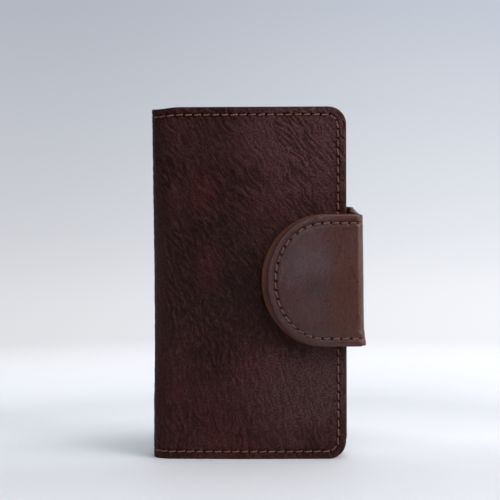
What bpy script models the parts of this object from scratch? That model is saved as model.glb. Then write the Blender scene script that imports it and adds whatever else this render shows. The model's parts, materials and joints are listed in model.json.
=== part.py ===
"""A folio phone wallet case in leather, closed by a D-shaped magnetic flap, standing on its bottom edges.

The front and back covers are joined by a rounded spine. A phone shell is glued inside the back cover,
and a cash pocket and three card slots are sewn inside the front cover. The closure strap is sewn to the
outside of the back cover, goes round the opening edge as a bridge, and ends in the flap on the front.

+X points to the opening edge, -Y to the front cover and +Z up. The origin is at the middle of the base.
Each fold has an empty on its axis, and the pieces that turn about it are its children.
"""
from math import acos, atan2, cos, degrees, hypot, pi, radians, sin

import bmesh
import bpy
from mathutils import Vector

MM = 0.001

# Driving dimensions, in millimetres like every number below
COVER_HEIGHT = 156.0
COVER_WIDTH = 85.4           # outside of the spine to the front cover's free edge
CASE_THICKNESS = 20.0        # outside of one cover to the outside of the other
CORNER_RADIUS = 8.0
BACK_OVERHANG = 0.8          # the back cover is this much wider than the front one
STRAP_REACH = 7.7            # how far the strap stands out past the front cover's free edge
PHONE_SIZE = (71.5, 7.8, 146.7)
PHONE_CORNER = 9.0

# Sheets and the clearances between them
LEATHER = 1.4
LINING = 0.8
PANEL = 0.6
LAYER_GAP = 0.25
FOLD_GAP = 0.4
STRAP_FOLD_GAP = 0.6         # wider, because the strap's bends are tight

# The strap
STRAP_LEATHER = 1.5
STRAP_LINING = 0.9
FLAP_HEIGHT = 57.8
FLAP_CENTRE_Z = 79.5
FLAP_REST_GAP = 0.3
FLAP_STRAIGHT = 9.8          # straight part of the flap, in from the front cover's free edge
FLAP_ROUND = 24.8            # horizontal half-axis of the D
LINING_PROUD = (2.6, 0.4)    # how far the lining shows past the D, sideways and up and down
FLAP_FOLD_RADIUS = 2.5       # between the strap's leather and its lining
ANCHOR_FOLD_RADIUS = 1.65    # inside the leather
ANCHOR_HEIGHT = 62.8
ANCHOR_LENGTH = 24.0
ANCHOR_CORNER = 9.0
ANCHOR_BEND_INSET = 0.1      # the anchor's bend starts this far inside the back cover's free edge
LINING_SHORT = 2.5           # the bridge's lining stops this far before the anchor's bend

# Seams
THREAD = 0.5
SEAM_INSET = 3.4
LAYER_STEP = (0.6, 2.6)      # where an inner thread starts and ends its step past a pocket's edge
GROOVE_WIDTH = 0.8
GROOVE_DEPTH = 0.65
THREAD_CLEARANCE = 0.15

# The magnet and the steel plate it holds
DISC_RADIUS = 6.0
MAGNET_INSET = 14.0          # from the front cover's free edge
MAGNET_DROP = 2.0            # below the middle of the flap
RECESS_MARGIN = 0.5          # the recess is this much wider all round than its disc
MAGNET_THICKNESS = 0.8
KEEPER_THICKNESS = 0.5
DISC_CLEARANCE = 0.15

# Phone shell and pockets
SHELL_WALL = 1.0
SHELL_FLOOR = 1.2
SHELL_PLAY = 0.2
SHELL_SHIFT = 0.15           # towards the spine, to balance the room at its sides
PAD = 0.8
PAD_HALF_WIDTH = 28.0
PAD_HEIGHTS = (14.0, 106.0)
PAD_CORNER = 4.0
CAMERA_WINDOW = (28.0, 29.0)
CAMERA_CORNER = 6.0
CAMERA_INSET = (3.0, 3.5)    # from the phone's side and top
PORT_WIDTH = 34.0
PORT_REACH = (4.0, 2.0)      # how far its cutter reaches outside and inside the shell's inner face
PORT_LEDGE = 0.3             # what it leaves above the shell's floor
BUTTON_NOTCH = 36.0
BUTTON_NOTCH_Z = 108.0
NOTCH_REACH = 4.0
NOTCH_LEDGE = 1.5
CUT_CORNER = 1.5
CARD_TOPS = (128.0, 114.0, 100.0)
CARD_LEFT_INSET = 12.0       # from the start of the spine's round
CASH_LEFT_INSET = 4.0

# Places worked out from the dimensions above
CASE_WIDTH = COVER_WIDTH + STRAP_REACH
SPINE_RADIUS = CASE_THICKNESS / 2
SPINE_X = -CASE_WIDTH / 2 + SPINE_RADIUS
FRONT_RIGHT = -CASE_WIDTH / 2 + COVER_WIDTH
BACK_RIGHT = FRONT_RIGHT + BACK_OVERHANG
FLAP_STACK = FLAP_REST_GAP + STRAP_LINING + LAYER_GAP + STRAP_LEATHER
ANCHOR_STACK = LAYER_GAP + STRAP_LEATHER
MID_Y = (FLAP_STACK - ANCHOR_STACK) / 2

# Distances of the layers' outer faces from the middle of the case
LINING_OUT = SPINE_RADIUS - LEATHER - LAYER_GAP
LINING_IN = LINING_OUT - LINING
CASH_OUT = LINING_IN - LAYER_GAP
CARD_STEP = PANEL + LAYER_GAP
PAD_OUT = LINING_IN - LAYER_GAP
SHELL_OUT = PAD_OUT - PAD - LAYER_GAP
PHONE_BACK = SHELL_OUT - SHELL_FLOOR
SHELL_RIM = PHONE_BACK - PHONE_SIZE[1] - SHELL_PLAY
SHELL_X = (SPINE_X + FRONT_RIGHT) / 2 - SHELL_SHIFT

# The strap's two bends, in plan
FLAP_SEAM_OUT = SPINE_RADIUS + FLAP_REST_GAP + STRAP_LINING + LAYER_GAP / 2
FLAP_BEND_OUTER = FLAP_FOLD_RADIUS + LAYER_GAP / 2 + STRAP_LEATHER
FLAP_BEND = (CASE_WIDTH / 2 - FLAP_BEND_OUTER, MID_Y - FLAP_SEAM_OUT + FLAP_FOLD_RADIUS)
ANCHOR_BEND = (BACK_RIGHT - ANCHOR_BEND_INSET, MID_Y + SPINE_RADIUS + LAYER_GAP - ANCHOR_FOLD_RADIUS)
ANCHOR_BEND_OUTER = ANCHOR_FOLD_RADIUS + STRAP_LEATHER

FRONT = -1
BACK = 1
BEND_STEPS = 8
CORNER_STEPS = 7
SEAM_CORNER_STEPS = 4
D_STEPS = 24
D_SEAM_STEPS = 20
DISC_SIDES = 24
BRIDGE_STEPS = 5
CUT_PAST = 0.1               # how far a recess's cutter passes the open face
FOLD_ANGLE = 45.0            # each cover keeps this much of the spine's round
DISC_X = FRONT_RIGHT - MAGNET_INSET
DISC_Z = FLAP_CENTRE_Z - MAGNET_DROP

MATERIALS = {
    # name: base colour, roughness, metallic
    "cover_leather": ((0.055, 0.018, 0.015), 0.55, 0.0),
    "strap_leather": ((0.075, 0.028, 0.026), 0.5, 0.0),
    "lining_leather": ((0.16, 0.065, 0.032), 0.65, 0.0),
    "pocket_leather": ((0.07, 0.026, 0.02), 0.6, 0.0),
    "thread": ((0.24, 0.08, 0.045), 0.7, 0.0),
    "shell_plastic": ((0.02, 0.018, 0.018), 0.5, 0.0),
    "adhesive": ((0.6, 0.6, 0.58), 0.8, 0.0),
    "magnet": ((0.6, 0.6, 0.62), 0.3, 1.0),
    "steel": ((0.5, 0.5, 0.52), 0.35, 1.0),
}


def metres(x, y, z):
    """A point given in millimetres, as a vector in metres."""
    return Vector((x, y, z)) * MM


def remove_everything():
    """Start from an empty file."""
    for obj in list(bpy.data.objects):
        bpy.data.objects.remove(obj, do_unlink=True)


def make_material(name):
    """The Principled material called name in MATERIALS, made once."""
    found = bpy.data.materials.get(name)
    if found:
        return found
    colour, roughness, metallic = MATERIALS[name]
    made = bpy.data.materials.new(name)
    made.use_nodes = True
    shader = made.node_tree.nodes["Principled BSDF"]
    shader.inputs["Base Color"].default_value = (*colour, 1.0)
    shader.inputs["Roughness"].default_value = roughness
    shader.inputs["Metallic"].default_value = metallic
    return made


# ---------------------------------------------------------------- outlines, as (x, z) points

def spread(start, stop, steps):
    """steps + 1 even values from start to stop."""
    return [start + (stop - start) * i / steps for i in range(steps + 1)]


def ellipse_arc(centre, half_x, half_z, start, stop, steps=CORNER_STEPS):
    """Points on an ellipse's arc, between two angles in degrees."""
    return [(centre[0] + half_x * cos(radians(a)), centre[1] + half_z * sin(radians(a)))
            for a in spread(start, stop, steps)]


def rounded_rectangle(left, right, low, high, radius):
    """Anticlockwise outline with all four corners round."""
    centres = ((right - radius, low + radius), (right - radius, high - radius),
               (left + radius, high - radius), (left + radius, low + radius))
    return [point for quarter, centre in enumerate(centres)
            for point in ellipse_arc(centre, radius, radius, 90 * quarter - 90, 90 * quarter)]


def cover_outline(right):
    """A whole cover: straight at the spine, round at its two free corners."""
    low = (right - CORNER_RADIUS, CORNER_RADIUS)
    high = (right - CORNER_RADIUS, COVER_HEIGHT - CORNER_RADIUS)
    return [(SPINE_X, COVER_HEIGHT), (SPINE_X, 0.0),
            *ellipse_arc(low, CORNER_RADIUS, CORNER_RADIUS, -90, 0),
            *ellipse_arc(high, CORNER_RADIUS, CORNER_RADIUS, 0, 90)]


def pocket_outline(left, top):
    """A pocket panel as wide as the front cover from left on, its top edge at top."""
    low = (FRONT_RIGHT - CORNER_RADIUS, CORNER_RADIUS)
    points = [(left, top), (left, 0.0), *ellipse_arc(low, CORNER_RADIUS, CORNER_RADIUS, -90, 0)]
    if top < COVER_HEIGHT:
        return [*points, (FRONT_RIGHT, top)]
    high = (FRONT_RIGHT - CORNER_RADIUS, COVER_HEIGHT - CORNER_RADIUS)
    return [*points, *ellipse_arc(high, CORNER_RADIUS, CORNER_RADIUS, 0, 90)]


def flap_outline(half_x, half_z):
    """The D of the flap: a half ellipse, then straight to the bend."""
    centre = (FRONT_RIGHT - FLAP_STRAIGHT, FLAP_CENTRE_Z)
    return [*ellipse_arc(centre, half_x, half_z, 90, 270, D_STEPS),
            (FLAP_BEND[0], FLAP_CENTRE_Z - half_z), (FLAP_BEND[0], FLAP_CENTRE_Z + half_z)]


def anchor_outline():
    """The anchor: round corners at its sewn end, straight at the bend."""
    left = ANCHOR_BEND[0] - ANCHOR_LENGTH
    low = FLAP_CENTRE_Z - ANCHOR_HEIGHT / 2
    high = FLAP_CENTRE_Z + ANCHOR_HEIGHT / 2
    return [(ANCHOR_BEND[0], low), (ANCHOR_BEND[0], high),
            *ellipse_arc((left + ANCHOR_CORNER, high - ANCHOR_CORNER), ANCHOR_CORNER, ANCHOR_CORNER, 90, 180),
            *ellipse_arc((left + ANCHOR_CORNER, low + ANCHOR_CORNER), ANCHOR_CORNER, ANCHOR_CORNER, 180, 270)]


# ---------------------------------------------------------------- objects

class Case:
    """The collections, the empties on the fold axes, and what hangs on each."""

    def __init__(self):
        self.parts = bpy.data.collections.new("phone_wallet_case")
        self.cutters = bpy.data.collections.new("cutters")
        for collection in (self.parts, self.cutters):
            bpy.context.scene.collection.children.link(collection)
        self.bodies = {}

    def add_body(self, name, axis_xy, parent=None):
        """An empty on a fold's axis, half way up the case."""
        empty = bpy.data.objects.new("axis_of_" + name, None)
        empty.empty_display_size = 10 * MM
        empty.location = metres(*axis_xy, COVER_HEIGHT / 2)
        self.parts.objects.link(empty)
        bpy.context.view_layer.update()
        if parent:
            self.hang(empty, parent)
        self.bodies[name] = empty

    def hang(self, obj, body):
        """Parent obj to a body's empty, where it stands."""
        bpy.context.view_layer.update()
        obj.parent = self.bodies[body]
        obj.matrix_parent_inverse = self.bodies[body].matrix_world.inverted()

    def add_part(self, name, data, material, body):
        """A visible piece of the case."""
        obj = bpy.data.objects.new(name, data)
        data.materials.append(make_material(material))
        self.parts.objects.link(obj)
        self.hang(obj, body)
        return obj

    def add_cutter(self, name, data):
        """A hidden solid that Booleans cut with."""
        obj = bpy.data.objects.new(name, data)
        obj.hide_render = True
        obj.display_type = "WIRE"
        self.cutters.objects.link(obj)
        return obj


def thicken(obj, thickness, offset=-1.0):
    """Give a surface its thickness, to the back of its faces unless offset says otherwise."""
    solid = obj.modifiers.new("thickness", "SOLIDIFY")
    solid.thickness = thickness * MM
    solid.offset = offset
    solid.use_even_offset = True


def cut(obj, cutter):
    """Cut obj with a cutter."""
    boolean = obj.modifiers.new("cut_" + cutter.name, "BOOLEAN")
    boolean.operation = "DIFFERENCE"
    boolean.solver = "EXACT"
    boolean.object = cutter


def finish_surface(name, mesh, outward):
    """Turn the faces so that the first one looks outward, and return the mesh data."""
    bmesh.ops.recalc_face_normals(mesh, faces=mesh.faces)
    mesh.faces.ensure_lookup_table()
    mesh.normal_update()
    if mesh.faces[0].normal.dot(outward) < 0:
        bmesh.ops.reverse_faces(mesh, faces=mesh.faces)
    data = bpy.data.meshes.new(name)
    mesh.to_mesh(data)
    mesh.free()
    return data


def flat_surface(name, outline, side, out, bend=None):
    """A flat face at the distance out on one side of the case. bend = (edge_x, centre, degrees) carries
    its straight edge at edge_x on round a centre in plan."""
    mesh = bmesh.new()
    y = MID_Y + side * out
    mesh.faces.new([mesh.verts.new(metres(x, y, z)) for x, z in outline])
    if bend:
        edge_x, centre, angle = bend
        edge = next(e for e in mesh.edges if all(abs(v.co.x - edge_x * MM) < 1e-7 for v in e.verts))
        bmesh.ops.spin(mesh, geom=[edge, *edge.verts], cent=metres(*centre, 0), axis=(0, 0, 1),
                       angle=radians(angle), steps=BEND_STEPS, use_duplicate=False)
    return finish_surface(name, mesh, Vector((0, side, 0)))


def wall_surface(name, profile, outward):
    """Upright quads along a plan profile of (x, y, low, high) points."""
    mesh = bmesh.new()
    posts = [(mesh.verts.new(metres(x, y, low)), mesh.verts.new(metres(x, y, high)))
             for x, y, low, high in profile]
    for (low_a, high_a), (low_b, high_b) in zip(posts, posts[1:]):
        mesh.faces.new((low_a, low_b, high_b, high_a))
    return finish_surface(name, mesh, Vector((*outward, 0)))


def block_cutter(case, name, outline, y_low, y_high):
    """A cutter with an (x, z) outline between two depths."""
    mesh = bmesh.new()
    mesh.faces.new([mesh.verts.new(metres(x, y_low, z)) for x, z in outline])
    cutter = case.add_cutter(name, finish_surface(name, mesh, Vector((0, -1, 0))))
    thicken(cutter, y_high - y_low)
    return cutter


def disc_outline(radius):
    """A round outline about the magnet's axis."""
    return ellipse_arc((DISC_X, DISC_Z), radius, radius, 0, 360 - 360 / DISC_SIDES, DISC_SIDES - 1)


# ---------------------------------------------------------------- seams

def round_points(centre, radius, start, stop, z, steps=SEAM_CORNER_STEPS):
    """Seam stations round a bend: (x, y, z, nx, ny), the normal pointing away from the centre."""
    return [(centre[0] + radius * cos(radians(a)), centre[1] + radius * sin(radians(a)), z,
             cos(radians(a)), sin(radians(a))) for a in spread(start, stop, steps)]


def flat_points(route, side, out):
    """Seam stations on a flat: route is (x, z) or (x, z, out) points."""
    return [(point[0], MID_Y + side * (point[2] if len(point) > 2 else out), point[1], 0.0, float(side))
            for point in route]


def cover_seam(side, right, out, steps=()):
    """Stations along a cover's seam, from its fold line along the top, free edge and bottom to the fold
    line again. steps = (top, side, bottom) lists of (x, z, out) points where an inner thread changes layer."""
    top_steps, side_steps, bottom_steps = steps or ((), (), ())
    corner = CORNER_RADIUS - SEAM_INSET
    centre_x = right - CORNER_RADIUS
    end_angle = FOLD_ANGLE - degrees((FOLD_GAP / 2 + THREAD / 2) / SPINE_RADIUS)
    first_out = top_steps[-1][2] if top_steps else out
    last_out = side_steps[-1][2] if side_steps else out
    high = COVER_HEIGHT - SEAM_INSET
    top = [*top_steps, *[(x, z, first_out) for x, z in
                         ellipse_arc((centre_x, COVER_HEIGHT - CORNER_RADIUS), corner, corner, 90, 0,
                                     SEAM_CORNER_STEPS)]]
    bottom = [(x, z, last_out) for x, z in
              ellipse_arc((centre_x, CORNER_RADIUS), corner, corner, 0, -90, SEAM_CORNER_STEPS)]
    route = [*top, *side_steps, *bottom, *bottom_steps]
    straight_on = side * 90
    return [*round_points((SPINE_X, MID_Y), out, straight_on + side * end_angle, straight_on, high),
            *flat_points(route, side, out),
            *round_points((SPINE_X, MID_Y), out, straight_on, straight_on + side * end_angle, SEAM_INSET)]


def move_out(stations, distance):
    """The same stations, moved along their normals."""
    return [(x + nx * distance, y + ny * distance, z, nx, ny) for x, y, z, nx, ny in stations]


def thread(case, name, stations, body):
    """A thread as a round tube through the stations."""
    curve = bpy.data.curves.new(name, "CURVE")
    curve.dimensions = "3D"
    curve.bevel_depth = THREAD / 2 * MM
    curve.bevel_resolution = 1
    curve.use_fill_caps = True
    curve.render_resolution_u = 0
    spline = curve.splines.new("POLY")
    spline.points.add(len(stations) - 1)
    for point, (x, y, z, _, _) in zip(spline.points, stations):
        point.co = (*metres(x, y, z), 1.0)
    return case.add_part(name, curve, "thread", body)


def groove(case, name, stations):
    """A cutter for the groove that a thread lies in. The stations are on the leather's outer face."""
    mesh = bmesh.new()
    rims = [(mesh.verts.new(metres(x - nx * GROOVE_DEPTH, y - ny * GROOVE_DEPTH, z)),
             mesh.verts.new(metres(x + nx * GROOVE_DEPTH, y + ny * GROOVE_DEPTH, z)))
            for x, y, z, nx, ny in stations]
    for (in_a, out_a), (in_b, out_b) in zip(rims, rims[1:]):
        mesh.faces.new((in_a, in_b, out_b, out_a))
    cutter = case.add_cutter(name, finish_surface(name, mesh, across_seam(stations)))
    thicken(cutter, GROOVE_WIDTH, 0.0)
    return cutter


def across_seam(stations):
    """A vector that points across the first stretch of a seam, in the plane of the leather."""
    x, y, z, nx, ny = stations[0]
    along = Vector(stations[1][:3]) - Vector((x, y, z))
    return along.cross(Vector((nx, ny, 0)))


def sewn(case, piece, name, stations, body):
    """Cut a groove in piece along the stations on its outer face, and lay a thread in it."""
    cut(piece, groove(case, "groove_" + name, stations))
    sunk = GROOVE_DEPTH - THREAD_CLEARANCE - THREAD / 2
    return thread(case, name, move_out(trim(stations), -sunk), body)


def trim(stations):
    """The stations with both ends drawn in, so that the thread ends inside its groove."""
    def drawn_in(end, inner):
        stretch = Vector(inner[:3]) - Vector(end[:3])
        moved = Vector(end[:3]) + stretch * min(0.5, THREAD / stretch.length)
        return (*moved, *end[3:])
    return [drawn_in(stations[0], stations[1]), *stations[1:-1], drawn_in(stations[-1], stations[-2])]


# ---------------------------------------------------------------- the covers and the spine

def half_fold_gap(radius, gap=FOLD_GAP):
    """Half of the gap at a fold, in degrees at a radius."""
    return degrees(gap / 2 / radius)


def cover_sheet(case, name, side, right, out, thickness, material, body):
    """A cover's leather or lining: flat, with its share of the spine's round."""
    angle = side * (FOLD_ANGLE - half_fold_gap(out))
    data = flat_surface(name, cover_outline(right), side, out, (SPINE_X, (SPINE_X, MID_Y), angle))
    sheet = case.add_part(name, data, material, body)
    thicken(sheet, thickness)
    return sheet


def spine_sheet(case, name, out, thickness, material):
    """The spine's leather or lining, between the two fold lines."""
    trimmed = half_fold_gap(out)
    profile = [(SPINE_X + out * cos(radians(a)), MID_Y + out * sin(radians(a)), 0.0, COVER_HEIGHT)
               for a in spread(90 + FOLD_ANGLE + trimmed, 270 - FOLD_ANGLE - trimmed, 2 * BEND_STEPS)]
    sheet = case.add_part(name, wall_surface(name, profile, (-1, 1)), material, "spine")
    thicken(sheet, thickness)
    return sheet


def make_spine(case):
    """The spine and the seams that cross it at its top and bottom."""
    leather = spine_sheet(case, "spine_leather", SPINE_RADIUS, LEATHER, "cover_leather")
    spine_sheet(case, "spine_lining", LINING_OUT, LINING, "lining_leather")
    inner = half_fold_gap(SPINE_RADIUS) + degrees(THREAD / SPINE_RADIUS)
    for name, z in (("spine_thread_top", COVER_HEIGHT - SEAM_INSET), ("spine_thread_bottom", SEAM_INSET)):
        stations = round_points((SPINE_X, MID_Y), SPINE_RADIUS, 90 + FOLD_ANGLE + inner,
                                270 - FOLD_ANGLE - inner, z, BEND_STEPS)
        sewn(case, leather, name, stations, "spine")


def camera_outline():
    """The camera window, in the phone's upper corner on the opening side."""
    right = SHELL_X + PHONE_SIZE[0] / 2 - CAMERA_INSET[0]
    high = COVER_HEIGHT / 2 + PHONE_SIZE[2] / 2 - CAMERA_INSET[1]
    return rounded_rectangle(right - CAMERA_WINDOW[0], right, high - CAMERA_WINDOW[1], high, CAMERA_CORNER)


def make_back_cover(case):
    """The back cover with its lining, camera window and seams."""
    leather = cover_sheet(case, "back_cover_leather", BACK, BACK_RIGHT, SPINE_RADIUS, LEATHER,
                          "cover_leather", "back_cover")
    lining = cover_sheet(case, "back_lining", BACK, BACK_RIGHT, LINING_OUT, LINING,
                         "lining_leather", "back_cover")
    window = block_cutter(case, "camera_window", camera_outline(), MID_Y, MID_Y + SPINE_RADIUS + LEATHER)
    cut(leather, window)
    cut(lining, window)
    sewn(case, leather, "back_needle_thread", cover_seam(BACK, BACK_RIGHT, SPINE_RADIUS), "back_cover")
    inside = LINING_IN - THREAD_CLEARANCE - THREAD / 2
    thread(case, "back_bobbin_thread", cover_seam(BACK, BACK_RIGHT, inside), "back_cover")
    return window


def make_phone_shell(case, window):
    """The shell: a tray open to the front, with its cut-outs, and the pad that glues it down."""
    half_x = PHONE_SIZE[0] / 2 + SHELL_PLAY
    half_z = PHONE_SIZE[2] / 2 + SHELL_PLAY
    mid_z = COVER_HEIGHT / 2

    def outline(grow):
        return rounded_rectangle(SHELL_X - half_x - grow, SHELL_X + half_x + grow,
                                 mid_z - half_z - grow, mid_z + half_z + grow, PHONE_CORNER + grow)

    data = flat_surface("phone_shell", outline(SHELL_WALL), BACK, SHELL_OUT)
    shell = case.add_part("phone_shell", data, "shell_plastic", "back_cover")
    thicken(shell, SHELL_OUT - SHELL_RIM)
    bay_front = MID_Y + SHELL_RIM - LEATHER
    bay_back = MID_Y + PHONE_BACK
    cut(shell, block_cutter(case, "phone_bay", outline(0.0), bay_front, bay_back))
    cut(shell, window)
    port = rounded_rectangle(SHELL_X - PORT_WIDTH / 2, SHELL_X + PORT_WIDTH / 2,
                             mid_z - half_z - PORT_REACH[0], mid_z - half_z + PORT_REACH[1], CUT_CORNER)
    cut(shell, block_cutter(case, "port_cut", port, bay_front, bay_back - PORT_LEDGE))
    for label, x in (("left", SHELL_X - half_x), ("right", SHELL_X + half_x)):
        notch = rounded_rectangle(x - NOTCH_REACH, x + NOTCH_REACH, BUTTON_NOTCH_Z - BUTTON_NOTCH / 2,
                                  BUTTON_NOTCH_Z + BUTTON_NOTCH / 2, CUT_CORNER)
        cut(shell, block_cutter(case, label + "_button_cut", notch, bay_front, bay_back - NOTCH_LEDGE))
    pad_outline = rounded_rectangle(SHELL_X - PAD_HALF_WIDTH, SHELL_X + PAD_HALF_WIDTH,
                                    *PAD_HEIGHTS, PAD_CORNER)
    pad = case.add_part("shell_adhesive_pad", flat_surface("shell_adhesive_pad", pad_outline, BACK, PAD_OUT),
                        "adhesive", "back_cover")
    thicken(pad, PAD)


def make_front_cover(case):
    """The front cover with its lining, keeper plate and outer seam."""
    leather = cover_sheet(case, "front_cover_leather", FRONT, FRONT_RIGHT, SPINE_RADIUS, LEATHER,
                          "cover_leather", "front_cover")
    cover_sheet(case, "front_lining", FRONT, FRONT_RIGHT, LINING_OUT, LINING, "lining_leather", "front_cover")
    inner_face = MID_Y - SPINE_RADIUS + LEATHER
    recess = inner_face - KEEPER_THICKNESS - DISC_CLEARANCE
    cut(leather, block_cutter(case, "keeper_recess", disc_outline(DISC_RADIUS + RECESS_MARGIN), recess,
                              inner_face + CUT_PAST))
    plate = case.add_part("keeper_plate", flat_surface("keeper_plate", disc_outline(DISC_RADIUS), FRONT,
                                                       MID_Y - recess - DISC_CLEARANCE), "steel", "front_cover")
    thicken(plate, KEEPER_THICKNESS)
    sewn(case, leather, "front_needle_thread", cover_seam(FRONT, FRONT_RIGHT, SPINE_RADIUS), "front_cover")


def make_pockets(case):
    """The cash pocket, three staggered card slots, and the threads that hold them inside the cover."""
    cash_left = SPINE_X + CASH_LEFT_INSET
    card_left = SPINE_X + CARD_LEFT_INSET
    panels = [("cash_pocket_panel", cash_left, COVER_HEIGHT)]
    panels += [(f"card_slot_{i}", card_left, top) for i, top in enumerate(CARD_TOPS, start=1)]
    outs = [CASH_OUT - i * CARD_STEP for i in range(len(panels))]
    for (name, left, top), out in zip(panels, outs):
        panel = case.add_part(name, flat_surface(name, pocket_outline(left, top), FRONT, out),
                              "pocket_leather", "front_cover")
        thicken(panel, PANEL)

    lift = THREAD_CLEARANCE + THREAD / 2
    levels = [LINING_IN - lift, *[out - PANEL - lift for out in outs]]
    near, far = LAYER_STEP
    high = COVER_HEIGHT - SEAM_INSET
    seam_x = FRONT_RIGHT - SEAM_INSET
    top_steps = [(cash_left - far, high, levels[0]), (cash_left - near, high, levels[1])]
    side_steps = []
    for i, top in enumerate(CARD_TOPS):
        side_steps += [(seam_x, top + far, levels[i + 1]), (seam_x, top + near, levels[i + 2])]
    bottom_steps = [(card_left - near, SEAM_INSET, levels[-1]), (card_left - 2 * far, SEAM_INSET, levels[1]),
                    (cash_left - near, SEAM_INSET, levels[1]), (cash_left - far, SEAM_INSET, levels[0])]
    thread(case, "front_bobbin_thread",
           cover_seam(FRONT, FRONT_RIGHT, levels[0], (top_steps, side_steps, bottom_steps)), "front_cover")

    slot_x = card_left + SEAM_INSET / 2
    route = [(slot_x, 2 * SEAM_INSET, levels[4])]
    for i in (2, 1):
        route += [(slot_x, CARD_TOPS[i] - SEAM_INSET, levels[i + 2]),
                  (slot_x, CARD_TOPS[i] + near, levels[i + 2]), (slot_x, CARD_TOPS[i] + far, levels[i + 1])]
    route.append((slot_x, CARD_TOPS[0] - SEAM_INSET, levels[2]))
    thread(case, "card_slot_thread", flat_points(route, FRONT, 0.0), "front_cover")


# ---------------------------------------------------------------- the strap

def bridge_direction():
    """Angle of the bridge's outward normal, in degrees from +X, where it is tangent to both bends."""
    across = ANCHOR_BEND[0] - FLAP_BEND[0]
    back = ANCHOR_BEND[1] - FLAP_BEND[1]
    inner = FLAP_FOLD_RADIUS + LAYER_GAP / 2
    return degrees(atan2(back, across) - acos((inner - ANCHOR_FOLD_RADIUS) / hypot(across, back)))


BRIDGE_NORMAL = bridge_direction()
FLAP_FOLD = (-90 + BRIDGE_NORMAL) / 2      # where the flap and the bridge part, on the flap's bend
ANCHOR_FOLD = (90 + BRIDGE_NORMAL) / 2     # where the bridge and the anchor part, on the anchor's bend


def on_bend(centre, radius, angle):
    """A point in plan on a bend."""
    return (centre[0] + radius * cos(radians(angle)), centre[1] + radius * sin(radians(angle)))


def bridge_profile(shift, last_angle, shortened=0.0):
    """Plan profile of a bridge sheet's outer face, from the flap's fold to the anchor's. shift is how far
    that face lies inside the leather's outer face. The bridge gets taller towards the anchor."""
    flap_radius = FLAP_BEND_OUTER - shift
    anchor_radius = ANCHOR_BEND_OUTER - shift
    first = FLAP_FOLD + half_fold_gap(flap_radius, STRAP_FOLD_GAP)
    plan = [on_bend(FLAP_BEND, flap_radius, a) for a in spread(first, BRIDGE_NORMAL, BEND_STEPS)]
    start = Vector(plan[-1])
    end = Vector(on_bend(ANCHOR_BEND, anchor_radius, BRIDGE_NORMAL))
    end = end + (start - end).normalized() * shortened
    shares = spread(0, 1, BRIDGE_STEPS)[1:]
    straight = [tuple(start.lerp(end, t)) for t in shares]
    grown = [(ANCHOR_HEIGHT - FLAP_HEIGHT) / 2 * t ** 2 for t in shares]
    growth = [0.0] * len(plan) + grown
    plan += straight
    if last_angle is not None:
        bend = [on_bend(ANCHOR_BEND, anchor_radius, a) for a in spread(BRIDGE_NORMAL, last_angle, BEND_STEPS)]
        plan += bend[1:]
        growth += [grown[-1]] * (len(bend) - 1)
    half = FLAP_HEIGHT / 2
    return [(x, y, FLAP_CENTRE_Z - half - g, FLAP_CENTRE_Z + half + g) for (x, y), g in zip(plan, growth)]


def bridge_seam(profile, top):
    """Stations along the bridge's top or bottom seam, on the straight and round the flap's bend."""
    stations = []
    for (x, y, low, high), (next_x, next_y, _, _) in zip(profile, profile[1:]):
        along = Vector((next_x - x, next_y - y)).normalized()
        z = high - SEAM_INSET if top else low + SEAM_INSET
        stations.append((x, y, z, along.y, -along.x))
    return stations


def make_bridge(case):
    """The strap's bridge round the opening edge, with its lining and its two short seams."""
    profile = bridge_profile(0.0, ANCHOR_FOLD - half_fold_gap(ANCHOR_BEND_OUTER, STRAP_FOLD_GAP))
    outward = (cos(radians(FLAP_FOLD)), sin(radians(FLAP_FOLD)))
    leather = case.add_part("strap_bridge_leather", wall_surface("strap_bridge_leather", profile, outward),
                            "strap_leather", "strap_bridge")
    thicken(leather, STRAP_LEATHER)
    lined = bridge_profile(STRAP_LEATHER + LAYER_GAP, None, LINING_SHORT)
    lining = case.add_part("strap_bridge_lining", wall_surface("strap_bridge_lining", lined, outward),
                           "lining_leather", "strap_bridge")
    thicken(lining, STRAP_LINING)
    sewn_part = profile[1:-BEND_STEPS]
    for name, top in (("bridge_thread_top", True), ("bridge_thread_bottom", False)):
        sewn(case, leather, name, bridge_seam(sewn_part, top), "strap_bridge")


def flap_seam(out):
    """Stations round the flap's D and on along its straight edges to the bend."""
    centre = (FRONT_RIGHT - FLAP_STRAIGHT, FLAP_CENTRE_Z)
    half_z = FLAP_HEIGHT / 2 - SEAM_INSET
    high = FLAP_CENTRE_Z + half_z
    low = FLAP_CENTRE_Z - half_z
    route = [(FLAP_BEND[0], high), *ellipse_arc(centre, FLAP_ROUND - SEAM_INSET, half_z, 90, 270, D_SEAM_STEPS),
             (FLAP_BEND[0], low)]
    return flat_points(route, FRONT, out)


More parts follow.
